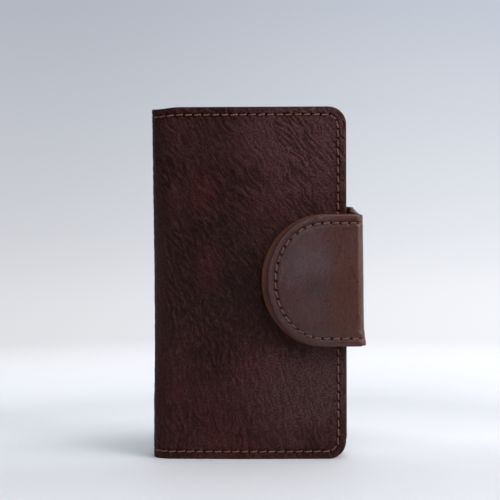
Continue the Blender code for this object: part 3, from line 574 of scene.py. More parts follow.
def make_sheet(name, place, edge, thickness, out=0.0, cut=None, windows=(), pitch=FINE, seams=(), relief=None,
               rounds=(0.45, 0.3), under_pitch=COARSE, under_seams=()):
    """A leather sheet as a closed mesh. edge is its outline from cut to cut, or the whole of it when cut is
    None. place carries (s, z, out) into space. out is how far its outer face stands beyond the path."""
    is_cut = cut is not None
    is_open = [is_cut] + [False] * len(windows)
    chains = [even(chain, EDGE_STEP, closed=not opened) for chain, opened in zip((edge, *windows), is_open)]
    profile = edge_profile(thickness, *rounds)
    rings = [edge_rings(chain, profile, opened) for chain, opened in zip(chains, is_open)]
    rows = beside = np.zeros((0, 2))
    if is_cut:
        rows = cut_rows(chains[0], cut, profile[0][0] + CUT_CLEAR)
        away = np.sign(edge[len(edge) // 2][0] - cut)
        beside = np.vstack([rows + (away * step, 0) for step in BESIDE_CUT])
    top_loops, low_loops = ([np.vstack([rings[0][side][0], rows])] + [r[side][0] for r in rings[1:]]
                            for side in (0, -1))
    holes = holes_of(seams)
    top_inner = face_points(top_loops, pitch, holes, beside)
    low_inner = face_points(low_loops, under_pitch, holes_of(under_seams), beside[:0])

    # the vertices as (s, z) and their depth: the rings, the cut's rows on both faces, and the faces' insides
    blocks = [ring for chain_rings in rings for ring in chain_rings]
    blocks += [(rows, 0.0), (rows, thickness), (top_inner, 0.0), (low_inner, thickness)]
    flat = np.vstack([points for points, _ in blocks])
    depth = np.concatenate([np.full(len(points), float(at)) for points, at in blocks])
    starts = np.cumsum([0] + [len(points) for points, _ in blocks])
    ring_starts = starts[:len(rings) * len(profile)].reshape(len(rings), -1)
    top_rows, low_rows, top_start, low_start = starts[-5:-1]

    def face(side, rows_start, inner_start, loops, inner):
        """The triangles of one face, by the numbers of the sheet's vertices."""
        index = [first + np.arange(len(chain)) for first, chain in zip(ring_starts[:, side], chains)]
        index.insert(1, rows_start + np.arange(len(rows)))
        index.append(inner_start + np.arange(len(inner)))
        return np.concatenate(index)[triangles(loops, inner)]

    faces = []
    for chain, opened, chain_starts in zip(chains, is_open, ring_starts):
        n = len(chain)
        for upper, lower in zip(chain_starts, chain_starts[1:]):
            for i in range(n - 1 if opened else n):
                j = (i + 1) % n
                faces.append((upper + i, lower + i, lower + j, upper + j))
    faces += [*face(0, top_rows, top_start, top_loops, top_inner)]
    faces += [*face(-1, low_rows, low_start, low_loops, low_inner)[:, ::-1]]
    if is_cut:
        end = len(rows) - 1
        faces.append((*(ring_starts[0] + len(chains[0]) - 1), low_rows, top_rows))
        faces += [(top_rows + i, low_rows + i, low_rows + i + 1, top_rows + i + 1) for i in range(end)]
        faces.append((top_rows + end, low_rows + end, *ring_starts[0][::-1]))

    # relief on the outer face, fading out through the thickness, and the seams' on the inner face
    share = 1 - depth / thickness
    shown = share > 0
    texture = np.zeros(len(flat))
    if relief is not None:
        texture[shown] = relief(flat[shown, 0], flat[shown, 1])
    height = texture.copy()
    height[shown] += seam_relief(flat[shown], seams)
    height *= share
    under = share < 0.5
    height[under] -= seam_relief(flat[under], under_seams, *UNDER_SEAM) * (1 - share[under])
    points, _ = place(flat[:, 0], flat[:, 1], out - depth + height)
    mesh = leather_mesh(name, points, [tuple(int(i) for i in f) for f in faces], flat * MM)

    # what the materials read
    edges = [even(chain, SEAM_LINE_STEP, closed=not opened) for chain, opened in zip(chains, is_open)]
    # For painted shade: 1 in the stitch holes, and a painted shadow line of GUTTER_SHADE along the gutter
    # beside them
    seam_shade = np.zeros(len(flat))
    if seams:
        gap = nearest_distance(flat[shown], np.vstack([seam.line for seam in seams]))
        seam_shade[shown] = np.maximum(in_hole(nearest_distance(flat[shown], holes)),
                                    GUTTER_SHADE * np.exp(-(gap / GUTTER_WIDTH) ** 2))
    store(mesh, "rim", 1 - smooth(nearest_distance(flat, np.vstack(edges)) / RIM_WIDTH))
    store(mesh, "wall", (depth > WALL_MARGIN) & (depth < thickness - WALL_MARGIN))
    store(mesh, "relief", texture)
    store(mesh, "hole", seam_shade * (depth < WALL_MARGIN))
    if is_cut:
        on_cut = np.abs(flat[:, 0] - cut) < CUT_TOLERANCE
        ends = np.zeros(len(mesh.edges) * 2, np.int32)
        mesh.edges.foreach_get("vertices", ends)
        sharp = mesh.attributes.new("sharp_edge", "BOOLEAN", "EDGE")
        sharp.data.foreach_set("value", on_cut[ends.reshape(-1, 2)].all(1))
    return link(name, mesh)


# ---- stitches

THREAD = 0.56
THREAD_FLAT = 0.86  # the thread's height as a share of its width
THREAD_SIDES = 9
SLANT = -0.2  # how far a stitch's ends lie to the sides of its seam
STITCH_RUN = np.array([0.145, 0.16, 0.185, 0.23, 0.33, 0.5, 0.67, 0.77, 0.815, 0.84, 0.855])
STITCH_RISE = np.array([-0.95, -0.5, -0.12, 0.08, 0.16, 0.18, 0.16, 0.08, -0.12, -0.5, -0.95])


def make_stitches(name, place, seam, out, face=1, seed=1):
    """Every stitch of a seam as one mesh. face is 1 on a sheet's outer face and -1 on its inner one.
    out is how far that face stands beyond the path, or a function of (s, z) that gives it."""
    rng = np.random.default_rng(seed)
    turn = (np.arange(THREAD_SIDES) * 2 * pi / THREAD_SIDES)[None, :, None]
    verts = []
    faces = []
    uvs = []
    for a, b in zip(seam.holes, seam.holes[1:]):
        along = (b - a) / hypot(*(b - a))
        aside = np.array([-along[1], along[0]])
        lean = SLANT * (1 + rng.uniform(-0.3, 0.3))
        tight = rng.uniform(0.85, 1.1)
        route = a + np.outer(STITCH_RUN, b - a) + np.outer(1 - 2 * STITCH_RUN, aside) * lean
        rise = np.where(STITCH_RISE > 0, STITCH_RISE * tight, STITCH_RISE)
        level = out(*(a + b) / 2) if callable(out) else out
        points, normals = place(route[:, 0], route[:, 1], level + face * rise)
        tangent = np.gradient(points, axis=0)
        tangent /= np.linalg.norm(tangent, axis=1)[:, None]
        side = np.cross(tangent, normals)
        side /= np.linalg.norm(side, axis=1)[:, None]
        up = np.cross(side, tangent)
        rings = points[:, None] + THREAD / 2 * (np.cos(turn) * side[:, None]
                                                + THREAD_FLAT * np.sin(turn) * up[:, None])
        first = len(verts)
        last = first + (len(points) - 1) * THREAD_SIDES
        verts.extend(rings.reshape(-1, 3))
        run = np.concatenate([[0], np.cumsum(np.linalg.norm(np.diff(points, axis=0), axis=1))])
        uvs.extend([(at, j / THREAD_SIDES) for at in run for j in range(THREAD_SIDES)])
        for lower in range(first, last, THREAD_SIDES):
            upper = lower + THREAD_SIDES
            for j in range(THREAD_SIDES):
                k = (j + 1) % THREAD_SIDES
                faces.append((lower + j, lower + k, upper + k, upper + j))
        faces.append(tuple(first + j for j in reversed(range(THREAD_SIDES))))
        faces.append(tuple(last + j for j in range(THREAD_SIDES)))
    return link(name, leather_mesh(name, verts, faces, np.array(uvs)))


# ---- materials

class Nodes:
    """Short ways to lay out a material's nodes."""

    def __init__(self, name, solid=False):
        """solid materials are laid out in the object's space, the others on the flat sheet."""
        self.material = bpy.data.materials.new(name)
        self.material.use_nodes = True
        self.tree = self.material.node_tree
        self.shader = self.tree.nodes["Principled BSDF"]
        if solid:
            self.flat = self.new("ShaderNodeTexCoord").outputs["Object"]
        else:
            self.flat = self.new("ShaderNodeUVMap", uv_map="flat").outputs["UV"]

    def new(self, kind, inputs=(), **settings):
        """A node with its settings, and with its inputs by name or number."""
        node = self.tree.nodes.new(kind)
        for key, value in settings.items():
            setattr(node, key, value)
        for key, value in dict(inputs).items():
            self.feed(value, node.inputs[key])
        return node

    def feed(self, value, socket):
        """Link an output, or set a constant."""
        if isinstance(value, bpy.types.NodeSocket):
            self.tree.links.new(value, socket)
        elif isinstance(value, tuple) and socket.type == "RGBA":
            socket.default_value = (*value, 1.0)
        else:
            socket.default_value = value

    def finish(self, **sockets):
        """Feed the shader's sockets, named with _ for each space, and give the material."""
        for name, value in sockets.items():
            self.feed(value, self.shader.inputs[name.replace("_", " ")])
        return self.material

    def math(self, operation, a, b=0.5, clamp=False):
        return self.new("ShaderNodeMath", {0: a, 1: b}, operation=operation, use_clamp=clamp).outputs[0]

    def plus(self, a, b):
        return self.math("ADD", a, b)

    def minus(self, a, b):
        return self.math("SUBTRACT", a, b)

    def times(self, a, b):
        return self.math("MULTIPLY", a, b)

    def parts(self, vector):
        """A vector's three outputs."""
        return self.new("ShaderNodeSeparateXYZ", {0: vector}).outputs

    def mapped(self, size, stretch=1.0, angle=0.0):
        """Flat coordinates in units of size millimetres, stretch times longer along an angle."""
        scale = (size * stretch * MM, size * MM, size * MM)
        inputs = {"Vector": self.flat, "Rotation": (0, 0, radians(angle)), "Scale": scale}
        return self.new("ShaderNodeMapping", inputs, vector_type="TEXTURE").outputs[0]

    def noise(self, size, detail=3.0, rough=0.55, stretch=1.0, angle=0.0, distortion=0.0):
        """Noise with features of size millimetres on the flat sheet."""
        inputs = {"Vector": self.mapped(size, stretch, angle), "Scale": 1.0, "Detail": detail,
                  "Roughness": rough, "Distortion": distortion}
        return self.new("ShaderNodeTexNoise", inputs).outputs["Fac"]

    def cells(self, size, stretch, angle, warp):
        """The distance to the edge of wavy cells of size millimetres."""
        place = self.mapped(size, stretch, angle)
        waves = self.new("ShaderNodeTexNoise", {"Vector": place, "Scale": 0.8}).outputs["Color"]
        inputs = {0: waves, 1: (warp, warp, 0), 2: place}
        moved = self.new("ShaderNodeVectorMath", inputs, operation="MULTIPLY_ADD").outputs[0]
        inputs = {"Vector": moved, "Scale": 1.0}
        return self.new("ShaderNodeTexVoronoi", inputs, feature="DISTANCE_TO_EDGE").outputs["Distance"]

    def spread(self, value, low, high, to_low=0.0, to_high=1.0):
        """A smooth step: to_low where the value is low, and to_high where it is high."""
        inputs = enumerate((value, low, high, to_low, to_high))
        return self.new("ShaderNodeMapRange", inputs, interpolation_type="SMOOTHSTEP").outputs[0]

    def attribute(self, name):
        return self.new("ShaderNodeAttribute", attribute_name=name).outputs["Fac"]

    def mix(self, factor, a, b):
        inputs = {"Factor": factor, "A": a, "B": b}
        return self.new("ShaderNodeMix", inputs, data_type="RGBA").outputs["Result"]

    def bump(self, height, distance):
        """A normal from a height whose full range stands for distance millimetres."""
        inputs = {"Strength": 1.0, "Distance": distance * MM, "Height": height}
        return self.new("ShaderNodeBump", inputs).outputs[0]


def leather(name, dark, red, pale, edge, grain=0.8, roughness=(0.6, 0.74), gloss=0.3, bump=0.06, streak=0.5,
            angles=(-56, -80), strand=1.5, painted_light_and_tones=()):
    """Waxed pull-up leather: patches of a redder tone, creases that go pale where the wax has moved,
    fine grain, and a burnished edge. The grain runs at the first angle high up and at the second low down.
    The soft ovals given last are of another colour: most paint light, shade or sheen onto the leather and a
    few give it a redder tone of its own, each as (s, z, half width, half height, colour, strength)."""
    n = Nodes(name)
    deep = tuple(c * 0.35 for c in dark)
    hole_shade = tuple(c * 0.1 for c in dark)
    flat_s, flat_z, _ = n.parts(n.flat)
    upper = n.spread(flat_z, 40 * MM, 95 * MM)
    high = n.noise(strand, 4, 0.6, 3.0, angles[0], 0.9)
    low = n.noise(strand, 4, 0.6, 2.4, angles[1], 0.9)
    lines = n.plus(n.times(high, upper), n.times(low, n.minus(1.0, upper)))
    cracks = n.spread(n.math("ABSOLUTE", n.minus(lines, 0.5)), 0.0, 0.035)
    creases = n.times(n.spread(lines, 0.36, 0.62, 0.45, 1.0), n.spread(cracks, 0.0, 1.0, 0.35, 1.0))
    pebble = n.spread(n.cells(grain, 1.4, angles[0], 1.6), 0.0, 0.3)
    colour = n.mix(n.spread(n.noise(26.0, 3, 0.5), 0.42, 0.66), dark, red)
    # Each oval mixes in its colour: painted light, shade or sheen for most, a redder tone of the leather's
    # own for a few
    for s, z, half_s, half_z, tone, strength in painted_light_and_tones:
        across = n.math("DIVIDE", n.minus(flat_s, s * MM), half_s * MM)
        along = n.math("DIVIDE", n.minus(flat_z, z * MM), half_z * MM)
        reach = n.math("SQRT", n.plus(n.times(across, across), n.times(along, along)))
        reach = n.plus(reach, n.times(n.noise(9.0, 3, 0.5), 0.6))
        colour = n.mix(n.spread(reach, 0.5, 1.5, strength, 0.0), colour, tone)
    mottle = n.noise(2.6, 5, 0.65)
    fine = n.noise(0.8, 3, 0.6)
    colour = n.mix(n.spread(mottle, 0.35, 0.75, 0.0, 0.15), colour, pale)
    colour = n.mix(n.spread(creases, 0.5, 1.0, 0.0, streak), colour, pale)
    colour = n.mix(n.spread(creases, 0.0, 0.5, streak, 0.0), colour, deep)
    colour = n.mix(n.spread(pebble, 0.0, 0.8, streak * 0.6, 0.0), colour, deep)
    colour = n.mix(n.spread(fine, 0.4, 0.58, streak * 1.5, 0.0), colour, deep)
    # Painted shade: the relief's deep folds darkened, together with the wax's darker tone there
    colour = n.mix(n.spread(n.attribute("relief"), -0.8, -0.3, 0.6, 0.0), colour, deep)
    colour = n.mix(n.times(n.attribute("rim"), 0.35), colour, edge)
    colour = n.mix(n.attribute("wall"), colour, edge)
    # Painted shade: the stitch holes darkened, and a painted shadow line along the gutter beside them
    colour = n.mix(n.times(n.attribute("hole"), 0.95), colour, hole_shade)
    height = n.plus(n.plus(n.times(pebble, 0.3), n.times(fine, 0.7)), creases)
    return n.finish(Base_Color=colour, Roughness=n.spread(mottle, 0.3, 0.8, roughness[1], roughness[0]),
                    Specular_IOR_Level=gloss, Normal=n.bump(height, bump))


def moulded(name, colour, pale, roughness, grain=0.35, bump=0.02):
    """Moulded plastic or foam: a fine spark-eroded texture, faint flow marks and a rubbed paler tone."""
    n = Nodes(name, solid=True)
    rubbed = n.spread(n.noise(14.0, 4, 0.6), 0.45, 0.75)
    speck = n.noise(grain, 2, 0.5)
    tone = n.mix(n.times(rubbed, 0.6), colour, pale)
    return n.finish(Base_Color=n.mix(n.spread(speck, 0.35, 0.7, 0.0, 0.35), tone, pale),
                    Roughness=n.spread(rubbed, 0.0, 1.0, *roughness), Normal=n.bump(speck, bump))


def metal(name, colour, dull, roughness):
    """Stamped and plated metal with a drawn grain."""
    n = Nodes(name, solid=True)
    drawn = n.noise(0.3, 3, 0.6, 14.0, 0.0)
    stain = n.spread(n.noise(4.0, 4, 0.6), 0.4, 0.7)
    return n.finish(Base_Color=n.mix(n.times(stain, 0.5), colour, dull), Metallic=1.0,
                    Roughness=n.spread(drawn, 0.3, 0.7, *roughness), Normal=n.bump(drawn, 0.01))


def waxed_thread():
    """Waxed rust-brown thread, its plies twisted."""
    n = Nodes("waxed_thread")
    along, around, _ = n.parts(n.flat)
    wave = n.math("SINE", n.times(n.plus(n.times(along, 1.6), around), 4 * pi), 0.0)
    return n.finish(Base_Color=n.mix(n.spread(wave, -1, 1), (0.11, 0.036, 0.022), (0.29, 0.110, 0.072)),
                    Roughness=0.45, Normal=n.bump(wave, 0.05))


# Soft ovals of another colour on the front cover and the spine, most of them painted light and shade
COVER_TONES_AND_PAINTED_LIGHT = (
    # Painted shade: the left middle of the cover darkened, on the side away from the key light
    (FRONT_FLAT - 20, 80, 32, 50, (0.010, 0.0022, 0.0018), 0.97),
    # Painted shade: the upper left of the cover darkened
    (FRONT_FLAT - 24, 140, 22, 24, (0.030, 0.0080, 0.0065), 0.8),
    # Painted light: the upper right of the cover lightened, on the side nearest the key light
    (FRONT_FLAT + 24, 142, 38, 36, (0.134, 0.055, 0.055), 0.9),
    # Painted light and sheen: the cover below the flap made lighter and greyer
    (FRONT_FLAT + 26, 34, 34, 32, (0.098, 0.048, 0.050), 0.95),
    # Painted shadow: a dark band just left of the flap, where its shadow falls
    (FRONT_FLAT - 1, 75, 9, 32, (0.010, 0.0025, 0.002), 0.85),
    # Painted highlight: a paler stripe down the curve of the spine
    (5, 80, 8, 45, (0.100, 0.045, 0.040), 0.6),
    # Two patches of a redder tone, the leather's own
    (FRONT_FLAT - 23, 120, 8, 12, (0.110, 0.013, 0.011), 0.7),
    (FRONT_FLAT - 22, 86, 8, 15, (0.080, 0.010, 0.008), 0.65),
)
STRAP_TONES_AND_PAINTED_LIGHT = (
    # The bend redder and a little lighter: the pull-up leather's own colour where it is bent, with painted
    # light from the key on it
    (-FLAP_BEND_LENGTH - 1.0, FLAP_Z, 10.5, 60, (0.086, 0.020, 0.008), 0.95),
    # Painted sheen: a paler, bluer patch on the upper middle of the flap
    (FLAP_FLAT + 22, 86, 15, 11, (0.098, 0.055, 0.060), 0.75),
    # Painted highlight: a paler band below the magnet
    (FLAP_FLAT + 24, 67, 13, 6, (0.072, 0.034, 0.034), 0.55),
    # Painted shade: the lower part of the flap darkened
    (FLAP_FLAT + 22, 55, 20, 7, (0.044, 0.013, 0.010), 0.6),
    # Painted shade: a dark patch over the magnet's hollow, where the sheen misses it
    (FLAP_FLAT + 25, 75.5, 7, 4, (0.030, 0.009, 0.008), 0.8),
)

# Each look is a material with the record's slot that it belongs to
cover_look = (leather(
    "cover_leather_look", (0.056, 0.0142, 0.0115), (0.078, 0.0155, 0.0112), (0.114, 0.048, 0.045),
    (0.045, 0.018, 0.015), bump=0.3, gloss=0.12, roughness=(0.55, 0.7), streak=0.42, strand=1.1,
    painted_light_and_tones=COVER_TONES_AND_PAINTED_LIGHT), "cover_leather")
strap_look = (leather(
    "strap_leather_look", (0.068, 0.0180, 0.0150), (0.078, 0.020, 0.0152), (0.095, 0.042, 0.036),
    (0.060, 0.018, 0.011), bump=0.07, gloss=0.5, roughness=(0.24, 0.36), streak=0.28, angles=(70, 80),
    painted_light_and_tones=STRAP_TONES_AND_PAINTED_LIGHT), "strap_leather")
lining_look = (leather(
    "lining_leather_look", (0.075, 0.020, 0.009), (0.095, 0.026, 0.011), (0.14, 0.05, 0.024),
    (0.105, 0.029, 0.011), bump=0.03, grain=0.6, roughness=(0.45, 0.6), streak=0.12), "lining_leather")
pocket_look = (leather(
    "pocket_leather_look", (0.045, 0.015, 0.012), (0.058, 0.018, 0.013), (0.09, 0.04, 0.03),
    (0.03, 0.011, 0.009), bump=0.04, roughness=(0.5, 0.65), streak=0.25), "pocket_leather")
thread_look = (waxed_thread(), "thread")


def settle(obj, look, follow, *nodes):
    """Give a piece its look and hide the CAD nodes that it stands for, then hand it to follow, which bakes
    its place into its mesh or hangs it from a body.
    """
    material, slot = look
    obj.data.materials.append(material)
    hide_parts(*nodes)
    follow(obj)


# ---- relief of each leather

FOLD_DEPTH = 0.85
SPINE_CALM = 0.4  # the share of the relief left where the spine's bend pulls the leather taut
CALM_START = 3
CALM_WIDTH = 12


def cover_relief(s, z):
    """Creases that run down to the right in the upper part and steeper lower down, over slow waves."""
    upper = smooth((z + 14 * noise(s, z, 40, 3) - 45) / 50)
    s = s + 1.1 * noise(s, z, 7.0, 61)
    z = z + 1.1 * noise(s, z, 7.0, 62)
    slanted = streaks(s, z, -56, 11.0, 2.5, 11) + 0.6 * streaks(s, z, -48, 7.0, 1.7, 12)
    steep = streaks(s, z, -80, 10.0, 2.4, 21) + 0.6 * streaks(s, z, -92, 6.0, 1.7, 22)
    fold = upper * (slanted / 1.6) ** 2.5 + (1 - upper) * (steep / 1.6) ** 2.5
    strong = 0.5 + 0.5 * smooth(0.5 + noise(s, z, 22, 31))
    waves = 0.20 * noise(s, z, 34, 41) + 0.10 * noise(s, z, 13, 42) + 0.04 * noise(s, z, 5.5, 43)
    calm = SPINE_CALM + (1 - SPINE_CALM) * smooth((np.abs(s) - CALM_START) / CALM_WIDTH)
    return (waves - 0.1 - FOLD_DEPTH * fold * strong) * calm


def strap_relief(s, z):
    """Smooth leather with slow waves."""
    return 0.15 * noise(s, z, 20, 51) + 0.05 * noise(s, z, 8, 52) - 0.02 * streaks(s, z, 70, 8, 2.4, 53) ** 3


# ---- the covers


def follow_front(obj):
    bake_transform(obj)


def follow_back(obj):
    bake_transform(obj)


def follow_front_only(obj):
    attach(obj, "front_cover")


FRONT_END = FRONT_FLAT + FRONT_RIGHT
BACK_END = BACK_FLAT - BACK_RIGHT
THREAD_SUNK = 0.1  # how deep the stitches lie in the leather
SUNK_AT_SPINE = 0.22  # how much deeper they lie where they cross the spine
SUNK_HALF = 15  # how far from the spine's middle that reaches
SUNK_EASE = 10
WINDOW_MARGIN = 1.95  # the record's opening box keeps this far inside the window's edge
WINDOW_CORNER = 6.0

front_seam = seam_along(open_cover(FRONT_END, SEAM_INSET))
back_seam = seam_along(open_cover(BACK_END, SEAM_INSET))
openings = {row["name"]: row for row in frame["record"]["physics"]["openings"]}
camera_low, camera_high = (Vector(corner) / MM for corner in openings["camera_window"]["box_m"])
window = corners(BACK_FLAT - camera_high.x - WINDOW_MARGIN, BACK_FLAT - camera_low.x + WINDOW_MARGIN,
                 camera_low.z - WINDOW_MARGIN, camera_high.z + WINDOW_MARGIN, [WINDOW_CORNER] * 4)[::-1]

SIDES = (
    ("front", FRONT_END, front_seam, (), follow_front),
    ("back", BACK_END, back_seam, (window,), follow_back),
)
COVER_NODES = {"front": ("front_cover_leather", "spine_leather"), "back": ("back_cover_leather",)}
LINING_NODES = {"front": ("front_lining", "spine_lining"), "back": ("back_lining",)}
THREAD_NODES = {"front": ("front_needle_thread", "spine_thread_top", "spine_thread_bottom"),
                "back": ("back_needle_thread",)}


def sunk_at_spine(s, z):
    """How the stitches lie: a little in the leather, and pulled deeper where they cross the spine."""
    return -THREAD_SUNK - SUNK_AT_SPINE * smooth((SUNK_HALF - abs(s)) / SUNK_EASE)


for side, end, seam, windows, follow in SIDES:
    cover = make_sheet(side + "_cover", cover_place, open_cover(end), LEATHER, cut=0.0, seams=[seam],
                       relief=cover_relief, windows=windows)
    settle(cover, cover_look, follow, *COVER_NODES[side])
for side, end, seam, windows, follow in SIDES:
    lining = make_sheet(side + "_lining_leather", cover_place, open_cover(end), LINING, out=-LINING_IN,
                        cut=0.0, pitch=COARSE, rounds=(0.25, 0.35), under_seams=[seam], under_pitch=0.9,
                        windows=windows)
    settle(lining, lining_look, follow, *LINING_NODES[side])
for seed, (side, end, seam, windows, follow) in enumerate(SIDES, 1):
    stitches = make_stitches(side + "_seam", cover_place, seam, sunk_at_spine, seed=seed)
    settle(stitches, thread_look, follow, *THREAD_NODES[side])

back_bobbins = make_stitches("back_seam_inside", cover_place, back_seam, THREAD_SUNK - LINING_IN - LINING,
                             face=-1, seed=5)
settle(back_bobbins, thread_look, follow_back, "back_bobbin_thread")


# ---- the pockets inside the front cover

POCKETS = ("cash_pocket_panel", "card_slot_1", "card_slot_2", "card_slot_3")
SLOT_CORNER = 1.5
card_thread_low, card_thread_high = box_mm("card_slot_thread")
card_line = FRONT_FLAT + (card_thread_low.x + card_thread_high.x) / 2
card_seam = seam_along([(card_line, card_thread_low.z), (card_line, card_thread_high.z)])


def inner_face(s, z):
    """Where the threads on the innermost layer lie beyond the front cover's path, which is less than 0."""
    depth = LINING_IN + LINING
    for number, pocket in enumerate(POCKETS):
        low, high = box_mm(pocket)
        if s > FRONT_FLAT + low.x and z < high.z:
            depth = CASH_IN + number * CARD_STEP + PANEL
    return THREAD_SUNK - depth


for number, pocket in enumerate(POCKETS):
    low, high = box_mm(pocket)
    left = FRONT_FLAT + low.x
    top_corner = CORNER_RADIUS if high.z > COVER_HEIGHT - 1 else SLOT_CORNER
    seams = [front_seam.within(left, high.z)]
    if number > 0:
        seams.append(card_seam.within(left - SLOT_CORNER, high.z))
    outline = corners(left, FRONT_END, 0.0, high.z, (CORNER_RADIUS, top_corner, SLOT_CORNER, SLOT_CORNER))
    panel = make_sheet(pocket + "_leather", cover_place, outline, PANEL, out=-CASH_IN - number * CARD_STEP,
                       pitch=COARSE, rounds=(0.2, 0.2), under_pitch=0.9, under_seams=seams)
    settle(panel, pocket_look, follow_front_only, pocket)

front_bobbins = make_stitches("front_seam_inside", cover_place, front_seam, inner_face, face=-1, seed=6)
settle(front_bobbins, thread_look, follow_front, "front_bobbin_thread")
card_stitches = make_stitches("card_slot_seam", cover_place, card_seam, inner_face, face=-1, seed=7)
settle(card_stitches, thread_look, follow_front_only, "card_slot_thread")


# ---- the strap

FLARE = (ANCHOR_HEIGHT - FLAP_HEIGHT) / 2
CUT_S = BRIDGE_LENGTH * 0.45  # where the strap's front and back sheets meet
BOBBIN_SUNK = 0.35  # how deep the flap's seam lies in its lining
FLAP_SEAM_START = -1.5  # where the flap's seam starts, from the bridge's straight
ANCHOR_SEAM_START = 2.0  # where the anchor's starts, from its bend
LINING_SHORT = 2.5  # how far before the anchor's bend the strap's lining ends
LINING_END = BRIDGE_LENGTH - LINING_SHORT


def strap_half(s, grow=0.0):
    """Half of the strap's height at s: it grows along the bridge towards the anchor."""
    t = np.clip(s / BRIDGE_LENGTH, 0, 1)
    return FLAP_HEIGHT / 2 + grow + FLARE * t ** 2


def strap_edge(run, grow, end, side=-1):
    """A strap's outline: its edge on one side along run, the end's points, and the other edge back. side is
    -1 to start with the bottom edge and 1 to start with the top one."""
    there = [(s, FLAP_Z + side * strap_half(s, grow)) for s in run]
    back = [(s, FLAP_Z - side * strap_half(s, grow)) for s in run[::-1]]
    return [*there, *end, *back]


def flap_edge(grow_s=0.0, grow_z=0.0, inset=0.0, cut=CUT_S):
    """The D and the front half of the bridge, from the cut along the top edge round to the bottom."""
    centre_s = FLAP_FLAT + FLAP_LEFT + FLAP_ROUND
    half_z = FLAP_HEIGHT / 2 + grow_z - inset
    d_end = arc((centre_s, FLAP_Z), FLAP_ROUND + grow_s - inset, half_z, 90, 270)
    return strap_edge(np.linspace(cut, centre_s, 60)[:-1], grow_z - inset, d_end, side=1)


def anchor_edge(inset=0.0, cut=CUT_S):
    """The back half of the bridge and the anchor, from the cut along the bottom edge round to the top."""
    end = ANCHOR_FLAT - anchor_low.x - inset
    half = ANCHOR_HEIGHT / 2 - inset
    rounded = corners(cut, end, FLAP_Z - half, FLAP_Z + half, [ANCHOR_CORNER - inset] * 2)
    return strap_edge(np.linspace(cut, BRIDGE_LENGTH, 30), -inset, rounded)


def lining_back_edge():
    """The back end of the strap's lining, from the cut along the bottom edge round to the top."""
    turn_s = LINING_END - SLOT_CORNER
    half = strap_half(turn_s)
    rounded = corners(CUT_S, LINING_END, FLAP_Z - half, FLAP_Z + half, [SLOT_CORNER] * 2)
    return strap_edge(np.linspace(CUT_S, turn_s, 12)[:-1], 0.0, rounded)


def follow_flap(obj):
    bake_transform(obj)


def follow_anchor(obj):
    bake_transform(obj)


def follow_bridge(obj):
    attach(obj, "strap_bridge")


flap_seam = seam_along(flap_edge(inset=SEAM_INSET, cut=FLAP_SEAM_START))
anchor_seam = seam_along(anchor_edge(inset=SEAM_INSET, cut=ANCHOR_FLAT - ANCHOR_BEND[0] + ANCHOR_SEAM_START))

flap = make_sheet("strap_front", strap_place, flap_edge(), STRAP_LEATHER, cut=CUT_S, seams=[flap_seam],
                  relief=strap_relief)
settle(flap, strap_look, follow_flap, "flap_leather", "strap_bridge_leather")
anchor = make_sheet("strap_back", strap_place, anchor_edge(), STRAP_LEATHER, cut=CUT_S, seams=[anchor_seam],
                    relief=strap_relief)
settle(anchor, strap_look, follow_anchor, "strap_anchor_leather")
flap_lining = make_sheet("strap_lining_front", strap_place, flap_edge(grow_s=2.6, grow_z=0.4), STRAP_LINING,
                         out=-STRAP_LINING_IN, cut=CUT_S, pitch=0.8, rounds=(0.3, 0.3))
settle(flap_lining, lining_look, follow_flap, "flap_lining", "strap_bridge_lining")

flap_stitches = make_stitches("flap_seam", strap_place, flap_seam, -THREAD_SUNK, seed=3)
settle(flap_stitches, thread_look, follow_flap, "flap_needle_thread", "bridge_thread_top",
       "bridge_thread_bottom")
anchor_stitches = make_stitches("anchor_seam", strap_place, anchor_seam, -THREAD_SUNK, seed=4)
settle(anchor_stitches, thread_look, follow_anchor, "anchor_thread")
flap_bobbins = make_stitches("flap_seam_inside", strap_place, flap_seam,
                             BOBBIN_SUNK - STRAP_LINING_IN - STRAP_LINING, face=-1, seed=8)
settle(flap_bobbins, thread_look, follow_flap, "flap_bobbin_thread")

lining_back = make_sheet("strap_lining_back", strap_place, lining_back_edge(), STRAP_LINING,
                         out=-STRAP_LINING_IN, cut=CUT_S, pitch=COARSE, rounds=(0.3, 0.3))
settle(lining_back, lining_look, follow_bridge, "strap_bridge_lining")


# ---- CAD nodes that stay

LOOKS = {
    "phone_shell": moulded("shell_look", (0.020, 0.018, 0.018), (0.045, 0.042, 0.042), (0.42, 0.6)),
    "shell_adhesive_pad": moulded("pad_look", (0.55, 0.55, 0.52), (0.72, 0.72, 0.70), (0.7, 0.9), 0.8, 0.08),
    "keeper_plate": metal("keeper_look", (0.56, 0.57, 0.58), (0.30, 0.29, 0.28), (0.25, 0.45)),
    "flap_magnet": metal("magnet_look", (0.62, 0.62, 0.64), (0.40, 0.40, 0.42), (0.18, 0.32)),
}
for node, look in LOOKS.items():
    for slot in frame["nodes"][node].material_slots:
        slot.material = look


# ---- stage, lights and camera

STAGE_FLAT = 0.95
STAGE_RISE = 1.6
STAGE_SIDES = 96
NEAR_FLOOR = 0.2
FLOOR_CENTRE = 0.00001  # too small a hole to see
BLACK = (0.0, 0.0, 0.0)


